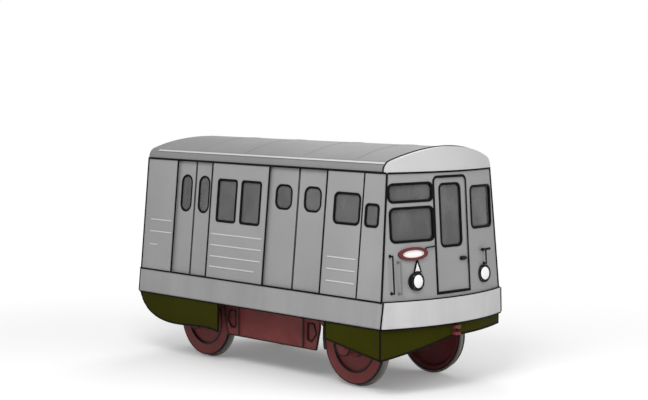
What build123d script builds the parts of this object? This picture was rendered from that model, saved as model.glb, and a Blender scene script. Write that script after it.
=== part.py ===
from build123d import *
import os
from math import atan, degrees, radians, sin, sqrt

# A short metro car on two axles, in millimetres. +X is the cab end, +Y the left side, +Z up.
# The origin is under the middle of the car, level with the lowest points of the wheel flanges.

# Body shell
REAR_X = -2980
NOSE_X = 2960
BODY_BOW = 260
SILL_HALF = 1330
CANT_HALF = 1160
BAND_BOTTOM = 1020
SILL_TOP = 1420
CANT_Z = 3300
ROOF_RISE = 362
FRONT_RAKE = 140
WALL = 110
SKIN = 30
END_WALL = 60
FLOOR_THICK = 80
ROOF_THICK = 60
CROWN_R = 3000
SHOULDER_R = 170
CEILING_CORNER_R = 120
ROOF_REAR_R = 220
ROOF_REAR_BLOCK = 140

# Bands below the walls
BAND_FLARE = 42
BAND_STEP = 5
BAND_PLATE = 45
BAND_CHAMFER = 28
BUMPER_PROUD = 40
REAR_BUMPER_PROUD = 20
FASCIA_PROUD = 15
FASCIA_LIP = 10

# Clearances
SEAT_GAP = 0.3
RUNNING_GAP = 0.1
DOOR_GAP = 6
LEAF_GAP = 8

# Side doorways: rear jamb, front jamb, travel of each leaf
DOORWAYS = {
    "rear": (-2180, -1280, 400),
    "front": (100, 1400, 600),
}
LEAF_THICK = 34
LEAF_LAP = 20
SHOE = (60, 24)
GLASS = 10

# Leaf windows: width, height, corner radius, height of the middle
LEAF_WINDOWS = {
    "rear": (230, 560, 105, 2760),
    "front": (330, 340, 100, 2830),
}

# Windows in the side walls: middle X, middle Z, width, height, corner radius, in front of a door pocket
SIDE_WINDOWS = [
    (-880, 2690, 420, 640, 25, True),
    (-300, 2690, 420, 640, 25, True),
    (1860, 2740, 500, 420, 60, True),
    (2385, 2670, 230, 290, 40, False),
]

# Side panels: the post between two pockets, where it stands, and the room past an open leaf
POCKET_POST = 120
PANEL_SPLIT = -600
POCKET_SPARE = 20

# End doors: the leaf stands behind a lip of its wall, whose upper corners are round
END_DOOR_W = 690
END_DOOR_SILL = 92
END_DOOR_HEADER = 82
END_DOOR_THICK = 40
END_DOOR_BACK = 25
END_DOOR_LIP = 19
END_DOOR_CORNER = 66
# The end door's window: stiles beside it, rail above it, panel below it, corner radius
END_DOOR_STILE = 130
END_DOOR_RAIL = 108
END_DOOR_PANEL = 682
END_DOOR_WINDOW_R = 60
PIVOT_R = 8
PIVOT_LENGTH = 20
HANDLE = (36, 90, 8)
HANDLE_V = 520
HANDLE_INSET = 80

# Windows in the front wall: middle Y, middle height over the sill, width, height, corner radius
FRONT_WINDOWS = [
    (-775, 1600, 730, 230, 60),
    (-770, 1130, 720, 460, 60),
    (800, 1320, 600, 600, 60),
]
REAR_WINDOWS = [
    (-780, 1270, 480, 640, 60),
    (780, 1270, 480, 640, 60),
]

# Raised strips on the side panels: rear end, front end, height
FLUTES = [
    (-2800, -2250, 2270),
    (-2800, -2250, 2070),
    (-2780, -2580, 1850),
    (-1200, 20, 2140),
    (-1200, 20, 1960),
    (-1200, 20, 1780),
    (-1200, -100, 1610),
    (1520, 2120, 2000),
    (1520, 2120, 1820),
    (1520, 2120, 1640),
]
FLUTE_H = 22
FLUTE_PROUD = 10
ROOF_RAIL_Z = 3440
ROOF_RAIL = (22, 12)
ROOF_RAIL_END = 160

# Front fittings, over the sill and from the middle
LAMP_Y = 760
LAMP_V = 290
LAMP_R = 138
LENS_R = 100
LAMP_PROUD = 42
LENS_PROUD = 26
RING_Y = -800
RING_V = 700
RING_OUTER = (250, 98)
RING_INNER = (190, 56)
RING_PROUD = 36
PLATE_PROUD = 18
RAIL_R = 12
RAIL_STAND = 55
# Upright grab rails: Y, lower end, upper end
FRONT_RAILS = [
    (-1170, 130, 700),
    (-1050, 120, 610),
    (800, 430, 660),
]
TEE_HALF = 80
REAR_RAIL = (200, 200, 800)
TAIL_LAMP = (950, 260, 70, 30)

# Wheels, axles and their guides
AXLE_X = 1750
TREAD_R = 620
FLANGE = 30
WHEEL_BACK = 800
WHEEL_WIDTH = 135
HUB_PROUD = 15
RIM_INNER_R = 425
HUB_R = 178
AXLE_R = 80
AXLE_SEAT_R = 95
JOURNAL_R = 65
JOURNAL_END = 1090
BOX_INNER = 975
BOX_OUTER = 1150
BOX_HALF = 130
BOX_BELOW = 150
BOX_ABOVE = 140
BOX_COVER_R = 150
BOX_COVER = 25
BOX_CHAMFER = 45
FRAME_INNER = 1010
FRAME_THICK = 30
FRAME_BOTTOM = 480
FRAME_BEAM_BOTTOM = 1060
FRAME_OVERHANG = 580
FRAME_PLATE_TOP_HALF = 1120
FRAME_PLATE_LOW_HALF = 1040
FRAME_PLATE_STEP = 820
FRAME_POCKET = [(850, 620), (940, 600), (1050, 730), (990, 880), (850, 880)]
FRAME_POCKET_DEEP = 14
PEDESTAL_HALF = 240
PEDESTAL_BOTTOM = 560
PEDESTAL_ROOM = 60
FRAME_RIB_X = 760
FRAME_RIB = (40, 12)
LEAF_SPRING = (12, 90, 3000)
SPRING_SHORT = 120
SPRING_STEP = 72
SPRING_LEAVES = 6
BUCKLE_HALF = 45
SPRING_SHOE_HALF = 40
SPRING_SHOE_UP = 60
SPRING_STAND = 15
SPRING_BED = 12
BUCKLE_CAP = 14

# Skirts: how far inside the band's lower edge they stand, and their lower edges as X and Z
SKIRT_THICK = 25
SKIRT_INSET = 4
REAR_SKIRT = [(-2980, 1020), (-2930, 900), (-2800, 760), (-2560, 640), (-2100, 570), (-950, 560)]
FRONT_SKIRT_START = (1540, 760)
NEAR_CORNER_Z = 560
FAR_CORNER_Z = 860
VALANCE_MIDDLE_Z = 840
COUPLER_ROOM = (15, 20)

# Underfloor pieces
CENTRE_SILL_Y = 230
CENTRE_SILL_W = 70
BEAM_DEPTH = 160
CROSS_BEAM_W = 80
MIDDLE_BEAM_X = 950
END_BEAM_GAP = 140
MOTOR_R = 250
MOTOR_HALF = 420
MOTOR_FROM_AXLE = 420
MOTOR_Z = 640
MOTOR_ARM = (60, 150, 120)
CASE = (1300, 940, 400)
TANK_R = 140
TANK_LENGTH = 1160
TANK_FROM_FRAME = 110
TANK_END_R = 49
BRAKE_GAP = 8
BRAKE_SHOE = 50
BRAKE_HALF_ANGLE = 14
BRAKE_INSET = (45, 10)
BRAKE_HANGER = (32, 36, 4)
BRAKE_BEAM_R = 16
COUPLER_END = 3060
COUPLER_W = 110
COUPLER_Z = (850, 990)
COUPLER_SLOT = 56
COUPLER_PIN_R = 20
COUPLER_PIN_BACK = 55
COUPLER_JAW = 130
COUPLER_TAIL = 150
COUPLER_LUG = (40, 90)

# Inside
BENCHES = [(-2900, -2230), (-1230, 50), (1450, 2135)]
BENCH_DEPTH = 590
BENCH_TOE = 140
BENCH_TOP = 1870
BENCH_LIP = 60
BENCH_BACK_TOP = 2300
BENCH_BACK = 60
BENCH_BACK_LEAN = 40
POLE_R = 18
POLE_FROM_BENCH = 40
POLES = [-2190, -1270, 90, 1410]
PARTITION_X = 2150
PARTITION = 40
PARTITION_DOOR_HALF = 420
PARTITION_DOOR_TOP = 3250
DESK_INNER = 420
DESK_FRONT = 2480
DESK_TOP = 2140
DESK_RISE = 60
DESK_TOE = 70

# Worked out from the above
ROOF_TOP = CANT_Z + ROOF_RISE
SLOPE = (SILL_HALF - CANT_HALF) / (CANT_Z - SILL_TOP)
RAKE = degrees(atan(FRONT_RAKE / (CANT_Z - SILL_TOP)))
BOW_R = (SILL_HALF ** 2 + BODY_BOW ** 2) / (2 * BODY_BOW)
FLOOR_BOTTOM = SILL_TOP - FLOOR_THICK
FLOOR_HALF = SILL_HALF - WALL
BAND_LOW_HALF = SILL_HALF + BAND_FLARE
SKIRT_OUTER = BAND_LOW_HALF - BAND_CHAMFER - SKIRT_INSET
AXLE_Z = TREAD_R + FLANGE
WHEEL_FACE = WHEEL_BACK + WHEEL_WIDTH
FRAME_OUTER = FRAME_INNER + FRAME_THICK
BEAM_BOTTOM = FLOOR_BOTTOM - BEAM_DEPTH
REAR_INNER_X = REAR_X + END_WALL
END_BEAM_X = NOSE_X - BODY_BOW - END_WALL - END_BEAM_GAP
FRAME_BEAM_HALF = AXLE_X + FRAME_OVERHANG
CROSS_BEAMS = [-END_BEAM_X, -MIDDLE_BEAM_X, 0, MIDDLE_BEAM_X, END_BEAM_X]
TANK_Y = FRAME_INNER - TANK_R - TANK_FROM_FRAME
SPRING_INNER = FRAME_OUTER + SPRING_STAND
SPRING_OUTER = SPRING_INNER + LEAF_SPRING[1]
SPRING_LOW = AXLE_Z + BOX_ABOVE + SPRING_BED
SPRING_HALVES = [SPRING_SHORT + SPRING_STEP * leaf for leaf in range(SPRING_LEAVES)]
SPRING_TOP_R = LEAF_SPRING[2] - LEAF_SPRING[0] * SPRING_LEAVES
SPRING_TIP_Z = SPRING_LOW + LEAF_SPRING[2] - sqrt(SPRING_TOP_R ** 2 - SPRING_HALVES[-1] ** 2)
BENCH_FRONT = SILL_HALF - BENCH_DEPTH
BENCH_PLINTH = BENCH_FRONT + BENCH_TOE
POLE_Y = BENCH_FRONT - POLE_FROM_BENCH
END_DOOR_H = CANT_Z - SILL_TOP - END_DOOR_SILL - END_DOOR_HEADER - 2 * LEAF_GAP
END_DOOR_LOW = END_DOOR_SILL + LEAF_GAP
PIVOT_Y = END_DOOR_THICK / 2 - END_DOOR_W / 2
PIVOT_X = -END_DOOR_BACK - END_DOOR_THICK / 2
FRONT_FRAME = Location((NOSE_X, 0, SILL_TOP), (0, -RAKE, 0))
REAR_FRAME = Location((REAR_X, 0, SILL_TOP), (0, 0, 180))
FAR = 4000


def half_width(z):
    return SILL_HALF - SLOPE * (z - SILL_TOP)


def along_x(points, x0, x1):
    """A prism along X from an outline of Y and Z."""
    return extrude(Plane.YZ.offset(x0) * make_face(Polyline(*points, close=True)), x1 - x0)


def along_y(points, y0, y1):
    """A prism along Y from an outline of X and Z."""
    return extrude(Plane.XZ.offset(-y0) * make_face(Polyline(*points, close=True)), y0 - y1)


def block(x0, x1, y0, y1, z0, z1):
    middle = ((x0 + x1) / 2, (y0 + y1) / 2, (z0 + z1) / 2)
    return Pos(*middle) * Box(abs(x1 - x0), abs(y1 - y0), abs(z1 - z0))


def side_slab(x0, x1, z0, z1, d0, d1):
    """A slab of the leaning right side, from depth d0 to depth d1 inside its outer face."""
    low, high = half_width(z0), half_width(z1)
    return along_x([(d0 - low, z0), (d0 - high, z1), (d1 - high, z1), (d1 - low, z0)], x0, x1)


def body_inside(x0, x1, z0, z1, depth):
    """The space between the two leaning sides, taken in by a depth."""
    low, high = half_width(z0) - depth, half_width(z1) - depth
    return along_x([(-low, z0), (low, z0), (high, z1), (-high, z1)], x0, x1)


def window_y(x, z, width, height, radius, grow=0.0):
    """A window's prism across the car."""
    shape = RectangleRounded(width + 2 * grow, height + 2 * grow, radius + grow)
    return extrude(Plane.XZ * Pos(x, z) * shape, FAR, both=True)


def window_x(y, v, width, height, radius, grow=0.0):
    """A window's prism along X in an end wall's own frame, v above the sill."""
    shape = RectangleRounded(width + 2 * grow, height + 2 * grow, radius + grow)
    return extrude(Plane.YZ * Pos(y, v) * shape, SILL_HALF, both=True)


def bow(depth):
    """The solid inside the bowed front face, in the front's own frame."""
    reach = BOW_R - depth
    outline = Pos(-BOW_R, 0) * Circle(reach) + Pos(-BOW_R - FAR / 2, 0) * Rectangle(FAR, 2 * reach)
    return Pos(0, 0, -SILL_TOP) * extrude(outline, ROOF_TOP + SILL_TOP)


def bow_x(y):
    """How far the bowed face lies behind the nose at a distance from the middle."""
    return sqrt(BOW_R ** 2 - y ** 2) - BOW_R


def front_inside(depth):
    return FRONT_FRAME * bow(depth)


def upright_bow(depth):
    """The bowed front face below the sill, where it stands upright."""
    return Pos(NOSE_X, 0, SILL_TOP) * bow(depth)


def arch(half, top, crown, corner):
    """The roof's outline above the cant rail, its shoulders rounded."""
    spring = top - crown + sqrt(crown ** 2 - half ** 2)
    foot = CANT_Z - corner
    walls = Polyline((-half, spring), (-half, foot), (half, foot), (half, spring))
    crown_arc = ThreePointArc((half, spring), (0, top), (-half, spring))
    face = make_face([walls, crown_arc])
    face = fillet(face.vertices().sort_by(Axis.Y)[-2:], corner)
    return face & Pos(0, CANT_Z + half / 2) * Rectangle(3 * half, half)


def roof_arch(grow, x0, x1):
    shape = arch(CANT_HALF + grow, ROOF_TOP + grow, CROWN_R + grow, SHOULDER_R + grow)
    return extrude(Plane.YZ.offset(x0) * shape, x1 - x0)


def ceiling_arch(gap, x0, x1):
    half = CANT_HALF - WALL - gap
    top = ROOF_TOP - ROOF_THICK - gap
    shape = arch(half, top, CROWN_R - ROOF_THICK, CEILING_CORNER_R)
    return extrude(Plane.YZ.offset(x0) * shape, x1 - x0)


def both_sides(solid):
    return [solid, mirror(solid, Plane.XZ)]


def both_ends(solid):
    return [solid, mirror(solid, Plane.YZ)]


def ring(outer, inner, length):
    return Cylinder(outer, length) - Cylinder(inner, length)


PARTS = {}


def add(name, *solids):
    """Store one node, as one solid or as several separate ones."""
    flat = []
    for item in solids:
        flat.extend(item if isinstance(item, list) else [item])
    loose = [solid for item in flat for solid in item.solids()]
    PARTS[name] = loose[0] if len(loose) == 1 else Compound(children=loose)


# Side walls

def side_panels():
    rear_jamb, rear_end, rear_travel = DOORWAYS["rear"]
    front_jamb, front_end, front_travel = DOORWAYS["front"]
    leaf_d = (SKIN, WALL - SKIN)
    rear_pocket = rear_jamb - LEAF_LAP - rear_travel - POCKET_SPARE
    front_pocket = front_end + LEAF_LAP + front_travel + POCKET_SPARE
    post = (PANEL_SPLIT - POCKET_POST / 2, PANEL_SPLIT + POCKET_POST / 2)
    panels = [
        (REAR_INNER_X, rear_jamb, [(rear_pocket, rear_jamb)]),
        (rear_end, front_jamb, [(rear_end, post[0]), (post[1], front_jamb)]),
        (front_end, NOSE_X, [(front_end, front_pocket)]),
    ]
    solids = []
    for x0, x1, pockets in panels:
        panel = side_slab(x0, x1, SILL_TOP, CANT_Z, 0, WALL)
        for p0, p1 in pockets:
            panel -= side_slab(p0, p1, SILL_TOP, CANT_Z, *leaf_d)
        for x, z, width, height, radius, _ in SIDE_WINDOWS:
            if x0 < x < x1:
                panel -= window_y(x, z, width, height, radius)
        solids.append(panel & front_inside(END_WALL + SEAT_GAP))
    return solids


def side_panes():
    panes = []
    middle = SKIN / 2
    for x, z, width, height, radius, pocket in SIDE_WINDOWS:
        prism = window_y(x, z, width, height, radius, -SEAT_GAP)
        depths = [middle, WALL - middle] if pocket else [middle]
        for depth in depths:
            faces = (depth - GLASS / 2, depth + GLASS / 2)
            panes.append(prism & side_slab(x - width, x + width, z - height, z + height, *faces))
    return panes


def flute(x0, x1, z):
    strip = side_slab(x0, x1, z - FLUTE_H / 2, z + FLUTE_H / 2, -FLUTE_PROUD, 0)
    outer = strip.edges().filter_by(Axis.X).sort_by(Axis.Y)[:2]
    return fillet(outer, FLUTE_PROUD * 0.6)


# Side door leaves

def leaf_spans(door):
    rear_jamb, front_jamb, _ = DOORWAYS[door]
    middle = (rear_jamb + front_jamb) / 2
    return {
        "rear": (rear_jamb - LEAF_LAP, middle - DOOR_GAP / 2),
        "front": (middle + DOOR_GAP / 2, front_jamb + LEAF_LAP),
    }


def door_leaf(door, end):
    x0, x1 = leaf_spans(door)[end]
    depth = (WALL - LEAF_THICK) / 2
    low, high = SILL_TOP + LEAF_GAP, CANT_Z - LEAF_GAP
    leaf = side_slab(x0, x1, low, high, depth, depth + LEAF_THICK)
    shoe_depth = WALL / 2 - SHOE[1] / 2
    for x in (x0 + SHOE[0], x1 - 2 * SHOE[0]):
        foot = side_slab(x, x + SHOE[0], SILL_TOP + SEAT_GAP, low, shoe_depth, shoe_depth + SHOE[1])
        hanger = side_slab(x, x + SHOE[0], high, CANT_Z - SEAT_GAP, shoe_depth, shoe_depth + SHOE[1])
        leaf += foot + hanger
    return leaf - leaf_window(door, end, 0)


def leaf_window(door, end, grow):
    rear_jamb, front_jamb, _ = DOORWAYS[door]
    width, height, radius, z = LEAF_WINDOWS[door]
    quarter = (front_jamb - rear_jamb) / 4
    middle = (rear_jamb + front_jamb) / 2
    x = middle - quarter if end == "rear" else middle + quarter
    return window_y(x, z, width, height, radius, grow)


def leaf_pane(door, end):
    x0, x1 = leaf_spans(door)[end]
    depth = WALL / 2 - GLASS / 2
    slab = side_slab(x0, x1, SILL_TOP + LEAF_GAP, CANT_Z - LEAF_GAP, depth, depth + GLASS)
    return slab & leaf_window(door, end, -SEAT_GAP)


# End walls and end doors, each in its own frame: +X outwards, the sill's outer middle at the origin

def doorway():
    """The opening: round at the top in the outer lip, and square behind it, where the leaf swings."""
    half = END_DOOR_W / 2 + DOOR_GAP
    height = END_DOOR_H + 2 * LEAF_GAP
    middle = END_DOOR_SILL + height / 2
    lip = window_x(0, middle, 2 * half, height, END_DOOR_CORNER)
    lip += block(-FAR, FAR, -half, half, END_DOOR_SILL, middle)
    room = block(-FAR, -END_DOOR_LIP, -half, half, END_DOOR_SILL, END_DOOR_SILL + height)
    bores = Cylinder(PIVOT_R + RUNNING_GAP / 2, height + 2 * PIVOT_LENGTH + 2 * SEAT_GAP)
    return lip + room + Pos(PIVOT_X, PIVOT_Y, middle) * bores


def end_door():
    """A flat leaf with a round hinge edge that turns on two pins, and its handle."""
    low = END_DOOR_LOW
    middle = low + END_DOOR_H / 2
    face = -END_DOOR_BACK
    leaf = block(face - END_DOOR_THICK, face, PIVOT_Y, END_DOOR_W / 2, low, low + END_DOOR_H)
    pins = Cylinder(PIVOT_R, END_DOOR_H + 2 * LEAF_GAP + 2 * PIVOT_LENGTH)
    leaf += Pos(PIVOT_X, PIVOT_Y, middle) * (Cylinder(END_DOOR_THICK / 2, END_DOOR_H) + pins)
    leaf -= end_door_window(0)
    grip_y = END_DOOR_W / 2 - HANDLE_INSET
    plate, tall, proud = HANDLE
    grip = block(face, face + proud, grip_y - plate / 2, grip_y + plate / 2, HANDLE_V, HANDLE_V + tall)
    return leaf + grip


def end_door_window(grow):
    height = END_DOOR_H - END_DOOR_RAIL - END_DOOR_PANEL
    middle = END_DOOR_LOW + END_DOOR_PANEL + height / 2
    return window_x(0, middle, END_DOOR_W - 2 * END_DOOR_STILE, height, END_DOOR_WINDOW_R, grow)


def end_door_pane():
    slab = Pos(PIVOT_X, 0, END_DOOR_LOW + END_DOOR_H / 2) * Box(GLASS, END_DOOR_W, END_DOOR_H)
    return slab & end_door_window(-SEAT_GAP)


def front_wall():
    full = body_inside(0, NOSE_X, SILL_TOP, CANT_Z, 0)
    shell = full & front_inside(0)
    shell -= front_inside(END_WALL)
    for window in FRONT_WINDOWS:
        shell -= FRONT_FRAME * window_x(*window)
    return shell - FRONT_FRAME * doorway()


def front_panes():
    panes = []
    for window in FRONT_WINDOWS:
        middle = END_WALL / 2
        slab = bow(middle - GLASS / 2) - bow(middle + GLASS / 2)
        panes.append(FRONT_FRAME * (slab & window_x(*window, -SEAT_GAP)))
    return panes


def rear_wall():
    wall = body_inside(REAR_X, REAR_INNER_X, SILL_TOP, CANT_Z, 0)
    for window in REAR_WINDOWS:
        wall -= REAR_FRAME * window_x(*window)
    return wall - REAR_FRAME * doorway()


def rear_panes():
    middle = -END_WALL / 2
    panes = []
    for window in REAR_WINDOWS:
        slab = block(middle - GLASS / 2, middle + GLASS / 2, -SILL_HALF, SILL_HALF, 0, CANT_Z)
        panes.append(REAR_FRAME * (slab & window_x(*window, -SEAT_GAP)))
    return panes


# Roof

def roof():
    outer = roof_arch(0, REAR_X, NOSE_X)
    low, high = (REAR_X, CANT_Z), (NOSE_X, ROOF_TOP + RUNNING_GAP)
    side = along_y([low, (high[0], low[1]), high, (low[0], high[1])], -SILL_HALF, SILL_HALF)
    outer &= fillet(side.edges().filter_by(Axis.Y).sort_by(Axis.X)[:2].sort_by(Axis.Z)[-1], ROOF_REAR_R)
    outer &= front_inside(END_WALL + SEAT_GAP)
    return outer - ceiling_arch(0, REAR_X + ROOF_REAR_BLOCK, NOSE_X)


def roof_fascia():
    shell = roof_arch(FASCIA_LIP, 0, NOSE_X + BUMPER_PROUD) & front_inside(-FASCIA_PROUD)
    return shell - front_inside(END_WALL)


def roof_rail():
    """One rain strip along the shoulder of the roof."""
    height, proud = ROOF_RAIL
    x0, x1 = REAR_X + ROOF_REAR_R, NOSE_X - BODY_BOW - ROOF_RAIL_END
    strip = roof_arch(proud, x0, x1) - roof_arch(SEAT_GAP, x0 - 1, x1 + 1)
    return strip & block(x0, x1, -SILL_HALF, 0, ROOF_RAIL_Z - height / 2, ROOF_RAIL_Z + height / 2)


# Floor, bands and skirts

def band_outline(side):
    step = SILL_HALF + BAND_STEP
    foot = BAND_LOW_HALF - BAND_CHAMFER
    knee = (side * BAND_LOW_HALF, BAND_BOTTOM + BAND_CHAMFER)
    return [(side * step, SILL_TOP), knee, (side * foot, BAND_BOTTOM)]


def band_full(x0, x1):
    return along_x(band_outline(-1) + band_outline(1)[::-1], x0, x1)


def side_sill():
    plate = BAND_LOW_HALF - BAND_CHAMFER - BAND_PLATE
    knee = SILL_HALF - BAND_PLATE - BAND_CHAMFER
    inner = [(-plate, BAND_BOTTOM), (-knee, FLOOR_BOTTOM)]
    inner += [(-FLOOR_HALF, FLOOR_BOTTOM), (-FLOOR_HALF, SILL_TOP)]
    return along_x(band_outline(-1) + inner, REAR_INNER_X, NOSE_X) & upright_bow(END_WALL + SEAT_GAP)


def front_bumper():
    shell = band_full(0, NOSE_X + BUMPER_PROUD) & upright_bow(-BUMPER_PROUD)
    return shell - upright_bow(END_WALL)


def floor():
    plate = block(REAR_INNER_X, NOSE_X, -FLOOR_HALF, FLOOR_HALF, FLOOR_BOTTOM, SILL_TOP)
    return plate & upright_bow(END_WALL + SEAT_GAP)


def side_skirt(points, side):
    plate = along_y(points, -SKIRT_OUTER, SKIRT_THICK - SKIRT_OUTER)
    return plate if side < 0 else mirror(plate, Plane.XZ)


def rear_skirt():
    """The skirt behind the rear wheel's top, its lower edge one smooth curve."""
    edge = Spline(*REAR_SKIRT)
    end = REAR_SKIRT[-1]
    sides = Polyline(end, (end[0], BAND_BOTTOM), REAR_SKIRT[0])
    return extrude(Plane.XZ.offset(SKIRT_OUTER) * make_face([edge, sides]), -SKIRT_THICK)


def front_skirt(side, corner_z):
    corner_x = NOSE_X - BODY_BOW
    start_x, start_z = FRONT_SKIRT_START
    edge = [(start_x, start_z), (corner_x, corner_z), (NOSE_X, corner_z)]
    points = [(start_x, BAND_BOTTOM)] + edge + [(NOSE_X, BAND_BOTTOM)]
    return side_skirt(points, side) & upright_bow(SKIRT_THICK)


def valance():
    """The bowed apron under the front band, deepest at the right corner."""
    slot = COUPLER_W / 2 + COUPLER_ROOM[0]
    slot_top = BAND_BOTTOM - COUPLER_ROOM[1]
    points = [(-SKIRT_OUTER, BAND_BOTTOM), (-SKIRT_OUTER, NEAR_CORNER_Z)]
    points += [(-slot, VALANCE_MIDDLE_Z), (-slot, slot_top), (slot, slot_top), (slot, VALANCE_MIDDLE_Z)]
    points += [(SKIRT_OUTER, FAR_CORNER_Z), (SKIRT_OUTER, BAND_BOTTOM)]
    return (along_x(points, 0, NOSE_X) & upright_bow(0)) - upright_bow(SKIRT_THICK)


# Wheels, axles and their guides

def wheel():
    """The right wheel's section from the hub's back, over the flange and the tread, to the hub's face."""
    back, face, top = WHEEL_BACK, WHEEL_FACE, AXLE_Z
    seat = AXLE_SEAT_R + RUNNING_GAP / 2
    hub_back, hub_face = back - HUB_PROUD, face + HUB_PROUD
    inside = [(hub_back, seat), (hub_back, HUB_R + 8), (back + 38, HUB_R + 28)]
    inside += [(back + 50, RIM_INNER_R + 80), (back, RIM_INNER_R + 120)]
    flange = [(back, top - 18), (back + 8, top), (back + 20, top), (back + 36, TREAD_R + 2)]
    outside = [(face, TREAD_R - 5), (face, RIM_INNER_R + 5), (face - 35, RIM_INNER_R - 18)]
    outside += [(face - 47, HUB_R + 25), (hub_face, HUB_R), (hub_face, seat)]
    return revolve(Plane.YZ * make_face(Polyline(*inside, *flange, *outside, close=True)), Axis.Y)


def axle():
    """Half of the outline from the middle to the journal's end, and its mirror."""
    seat_end = WHEEL_FACE + HUB_PROUD
    half = [(0, AXLE_R), (WHEEL_BACK - 40, AXLE_R), (WHEEL_BACK - 25, AXLE_SEAT_R), (seat_end, AXLE_SEAT_R)]
    half += [(seat_end, JOURNAL_R), (JOURNAL_END, JOURNAL_R)]
    points = [(-JOURNAL_END, 0)] + [(-y, r) for y, r in half[::-1]] + half[1:] + [(JOURNAL_END, 0)]
    return revolve(Plane.YZ * make_face(Polyline(*points, close=True)), Axis.Y)


def axle_box():
    """The box on the right end of the front axle, with a round cover."""
    body = block(-BOX_HALF + SEAT_GAP, BOX_HALF - SEAT_GAP, -BOX_OUTER, -BOX_INNER, -BOX_BELOW, BOX_ABOVE)
    body = chamfer(body.edges().filter_by(Axis.Y).sort_by(Axis.Z)[:2], BOX_CHAMFER)
    turned = Rotation(90, 0, 0)
    body += Pos(0, -BOX_OUTER - BOX_COVER / 2) * turned * Cylinder(BOX_COVER_R, BOX_COVER)
    hole = JOURNAL_END + 5 - BOX_INNER
    body -= Pos(0, -BOX_INNER - hole / 2) * turned * Cylinder(JOURNAL_R + RUNNING_GAP, hole)
    return Pos(AXLE_X, 0, AXLE_Z) * body


def side_frame():
    """The deep plate between the wheels, with a guide for each axle box."""
    inner, outer = -FRAME_INNER, -FRAME_OUTER
    beam, top = FRAME_BEAM_BOTTOM, FLOOR_BOTTOM
    low, wide, step = FRAME_PLATE_LOW_HALF, FRAME_PLATE_TOP_HALF, FRAME_PLATE_STEP
    plate = [(-wide, beam), (-wide, step), (-low, FRAME_BOTTOM)]
    plate += [(-x, z) for x, z in plate[::-1]]
    frame = block(-FRAME_BEAM_HALF, FRAME_BEAM_HALF, outer, inner, beam, top) + along_y(plate, outer, inner)
    rib, proud = FRAME_RIB
    shoe_low, shoe_top = SPRING_TIP_Z + SEAT_GAP, beam + SPRING_SHOE_UP
    for side in (-1, 1):
        x = side * AXLE_X
        frame += block(x - PEDESTAL_HALF, x + PEDESTAL_HALF, outer, inner, PEDESTAL_BOTTOM, beam)
        frame -= block(x - BOX_HALF, x + BOX_HALF, outer, inner, 0, AXLE_Z + BOX_ABOVE + PEDESTAL_ROOM)
        pocket = [(side * pocket_x, z) for pocket_x, z in FRAME_POCKET]
        frame -= along_y(pocket, outer, outer + FRAME_POCKET_DEEP)
        rib_x = side * FRAME_RIB_X
        frame += block(rib_x - rib / 2, rib_x + rib / 2, outer - proud, outer, FRAME_BOTTOM, beam)
        for end in (-1, 1):
            tip = x + end * SPRING_HALVES[-1]
            x0, x1 = tip - SPRING_SHOE_HALF, tip + SPRING_SHOE_HALF
            frame += block(x0, x1, -SPRING_OUTER, inner, shoe_low, shoe_top)
    return frame


def leaf_spring():
    """Six leaves that lengthen upwards, held in a buckle on the axle box."""
    thick, width, radius = LEAF_SPRING
    centre = SPRING_LOW + radius
    profile = None
    for index, half in enumerate(SPRING_HALVES):
        strip = Circle(radius - thick * index) - Circle(radius - thick * (index + 1))
        strip = Pos(0, centre) * strip & Pos(0, SPRING_LOW) * Rectangle(2 * half, radius)
        profile = strip if profile is None else profile + strip
    top = SPRING_LOW + thick * len(SPRING_HALVES) + BUCKLE_CAP
    low = AXLE_Z + BOX_ABOVE + SEAT_GAP
    profile += Pos(0, (low + top) / 2) * Rectangle(2 * BUCKLE_HALF, top - low)
    return extrude(Plane.XZ.offset(SPRING_INNER) * Pos(AXLE_X, 0) * profile, width)


# Underfloor pieces

def underframe():
    """Two long sills under the floor and the cross beams between the side frames."""
    beams = None
    for side in (-1, 1):
        y0 = side * CENTRE_SILL_Y - CENTRE_SILL_W / 2
        sill = block(REAR_INNER_X, END_BEAM_X, y0, y0 + CENTRE_SILL_W, BEAM_BOTTOM, FLOOR_BOTTOM)
        beams = sill if beams is None else beams + sill
    for x in CROSS_BEAMS:
        x0 = x - CROSS_BEAM_W / 2
        beams += block(x0, x0 + CROSS_BEAM_W, -FRAME_INNER, FRAME_INNER, BEAM_BOTTOM, FLOOR_BOTTOM)
    return beams


def motor():
    """A closed drum across the car on an arm from the nearest cross beam."""
    x = AXLE_X - MOTOR_FROM_AXLE
    case = Pos(x, 0, MOTOR_Z) * Rotation(90, 0, 0) * Cylinder(MOTOR_R, 2 * MOTOR_HALF)
    back, half, up = MOTOR_ARM
    return case + block(MIDDLE_BEAM_X - CROSS_BEAM_W / 2, x - back, -half, half, MOTOR_Z + up, BEAM_BOTTOM)


def brake():
    """The right front wheel's shoe on its hanger, with half of the beam."""
    inner = TREAD_R + BRAKE_GAP
    outer = inner + BRAKE_SHOE
    y0, y1 = WHEEL_BACK + BRAKE_INSET[0], WHEEL_FACE - BRAKE_INSET[1]
    middle = -(y0 + y1) / 2
    shoe = Rotation(90, 0, 0) * (Cylinder(outer, y1 - y0) - Cylinder(inner, y1 - y0))
    half = outer * sin(radians(BRAKE_HALF_ANGLE))
    shoe &= block(-outer, -inner * 0.9, y0 - y1, y1 - y0, -half, half)
    shoe = Pos(AXLE_X, middle, AXLE_Z) * shoe
    back = AXLE_X - outer
    deep, wide, bite = BRAKE_HANGER
    low = AXLE_Z - deep
    hanger = block(back + bite - deep, back + bite, middle - wide / 2, middle + wide / 2, low, FLOOR_BOTTOM)
    beam = Pos(back + bite - deep / 2, 0, AXLE_Z) * Rotation(90, 0, 0) * Cylinder(BRAKE_BEAM_R, y0 + y1)
    return shoe + hanger + beam


def brake_pair():
    right = brake()
    return right + mirror(right, Plane.XZ)


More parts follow.
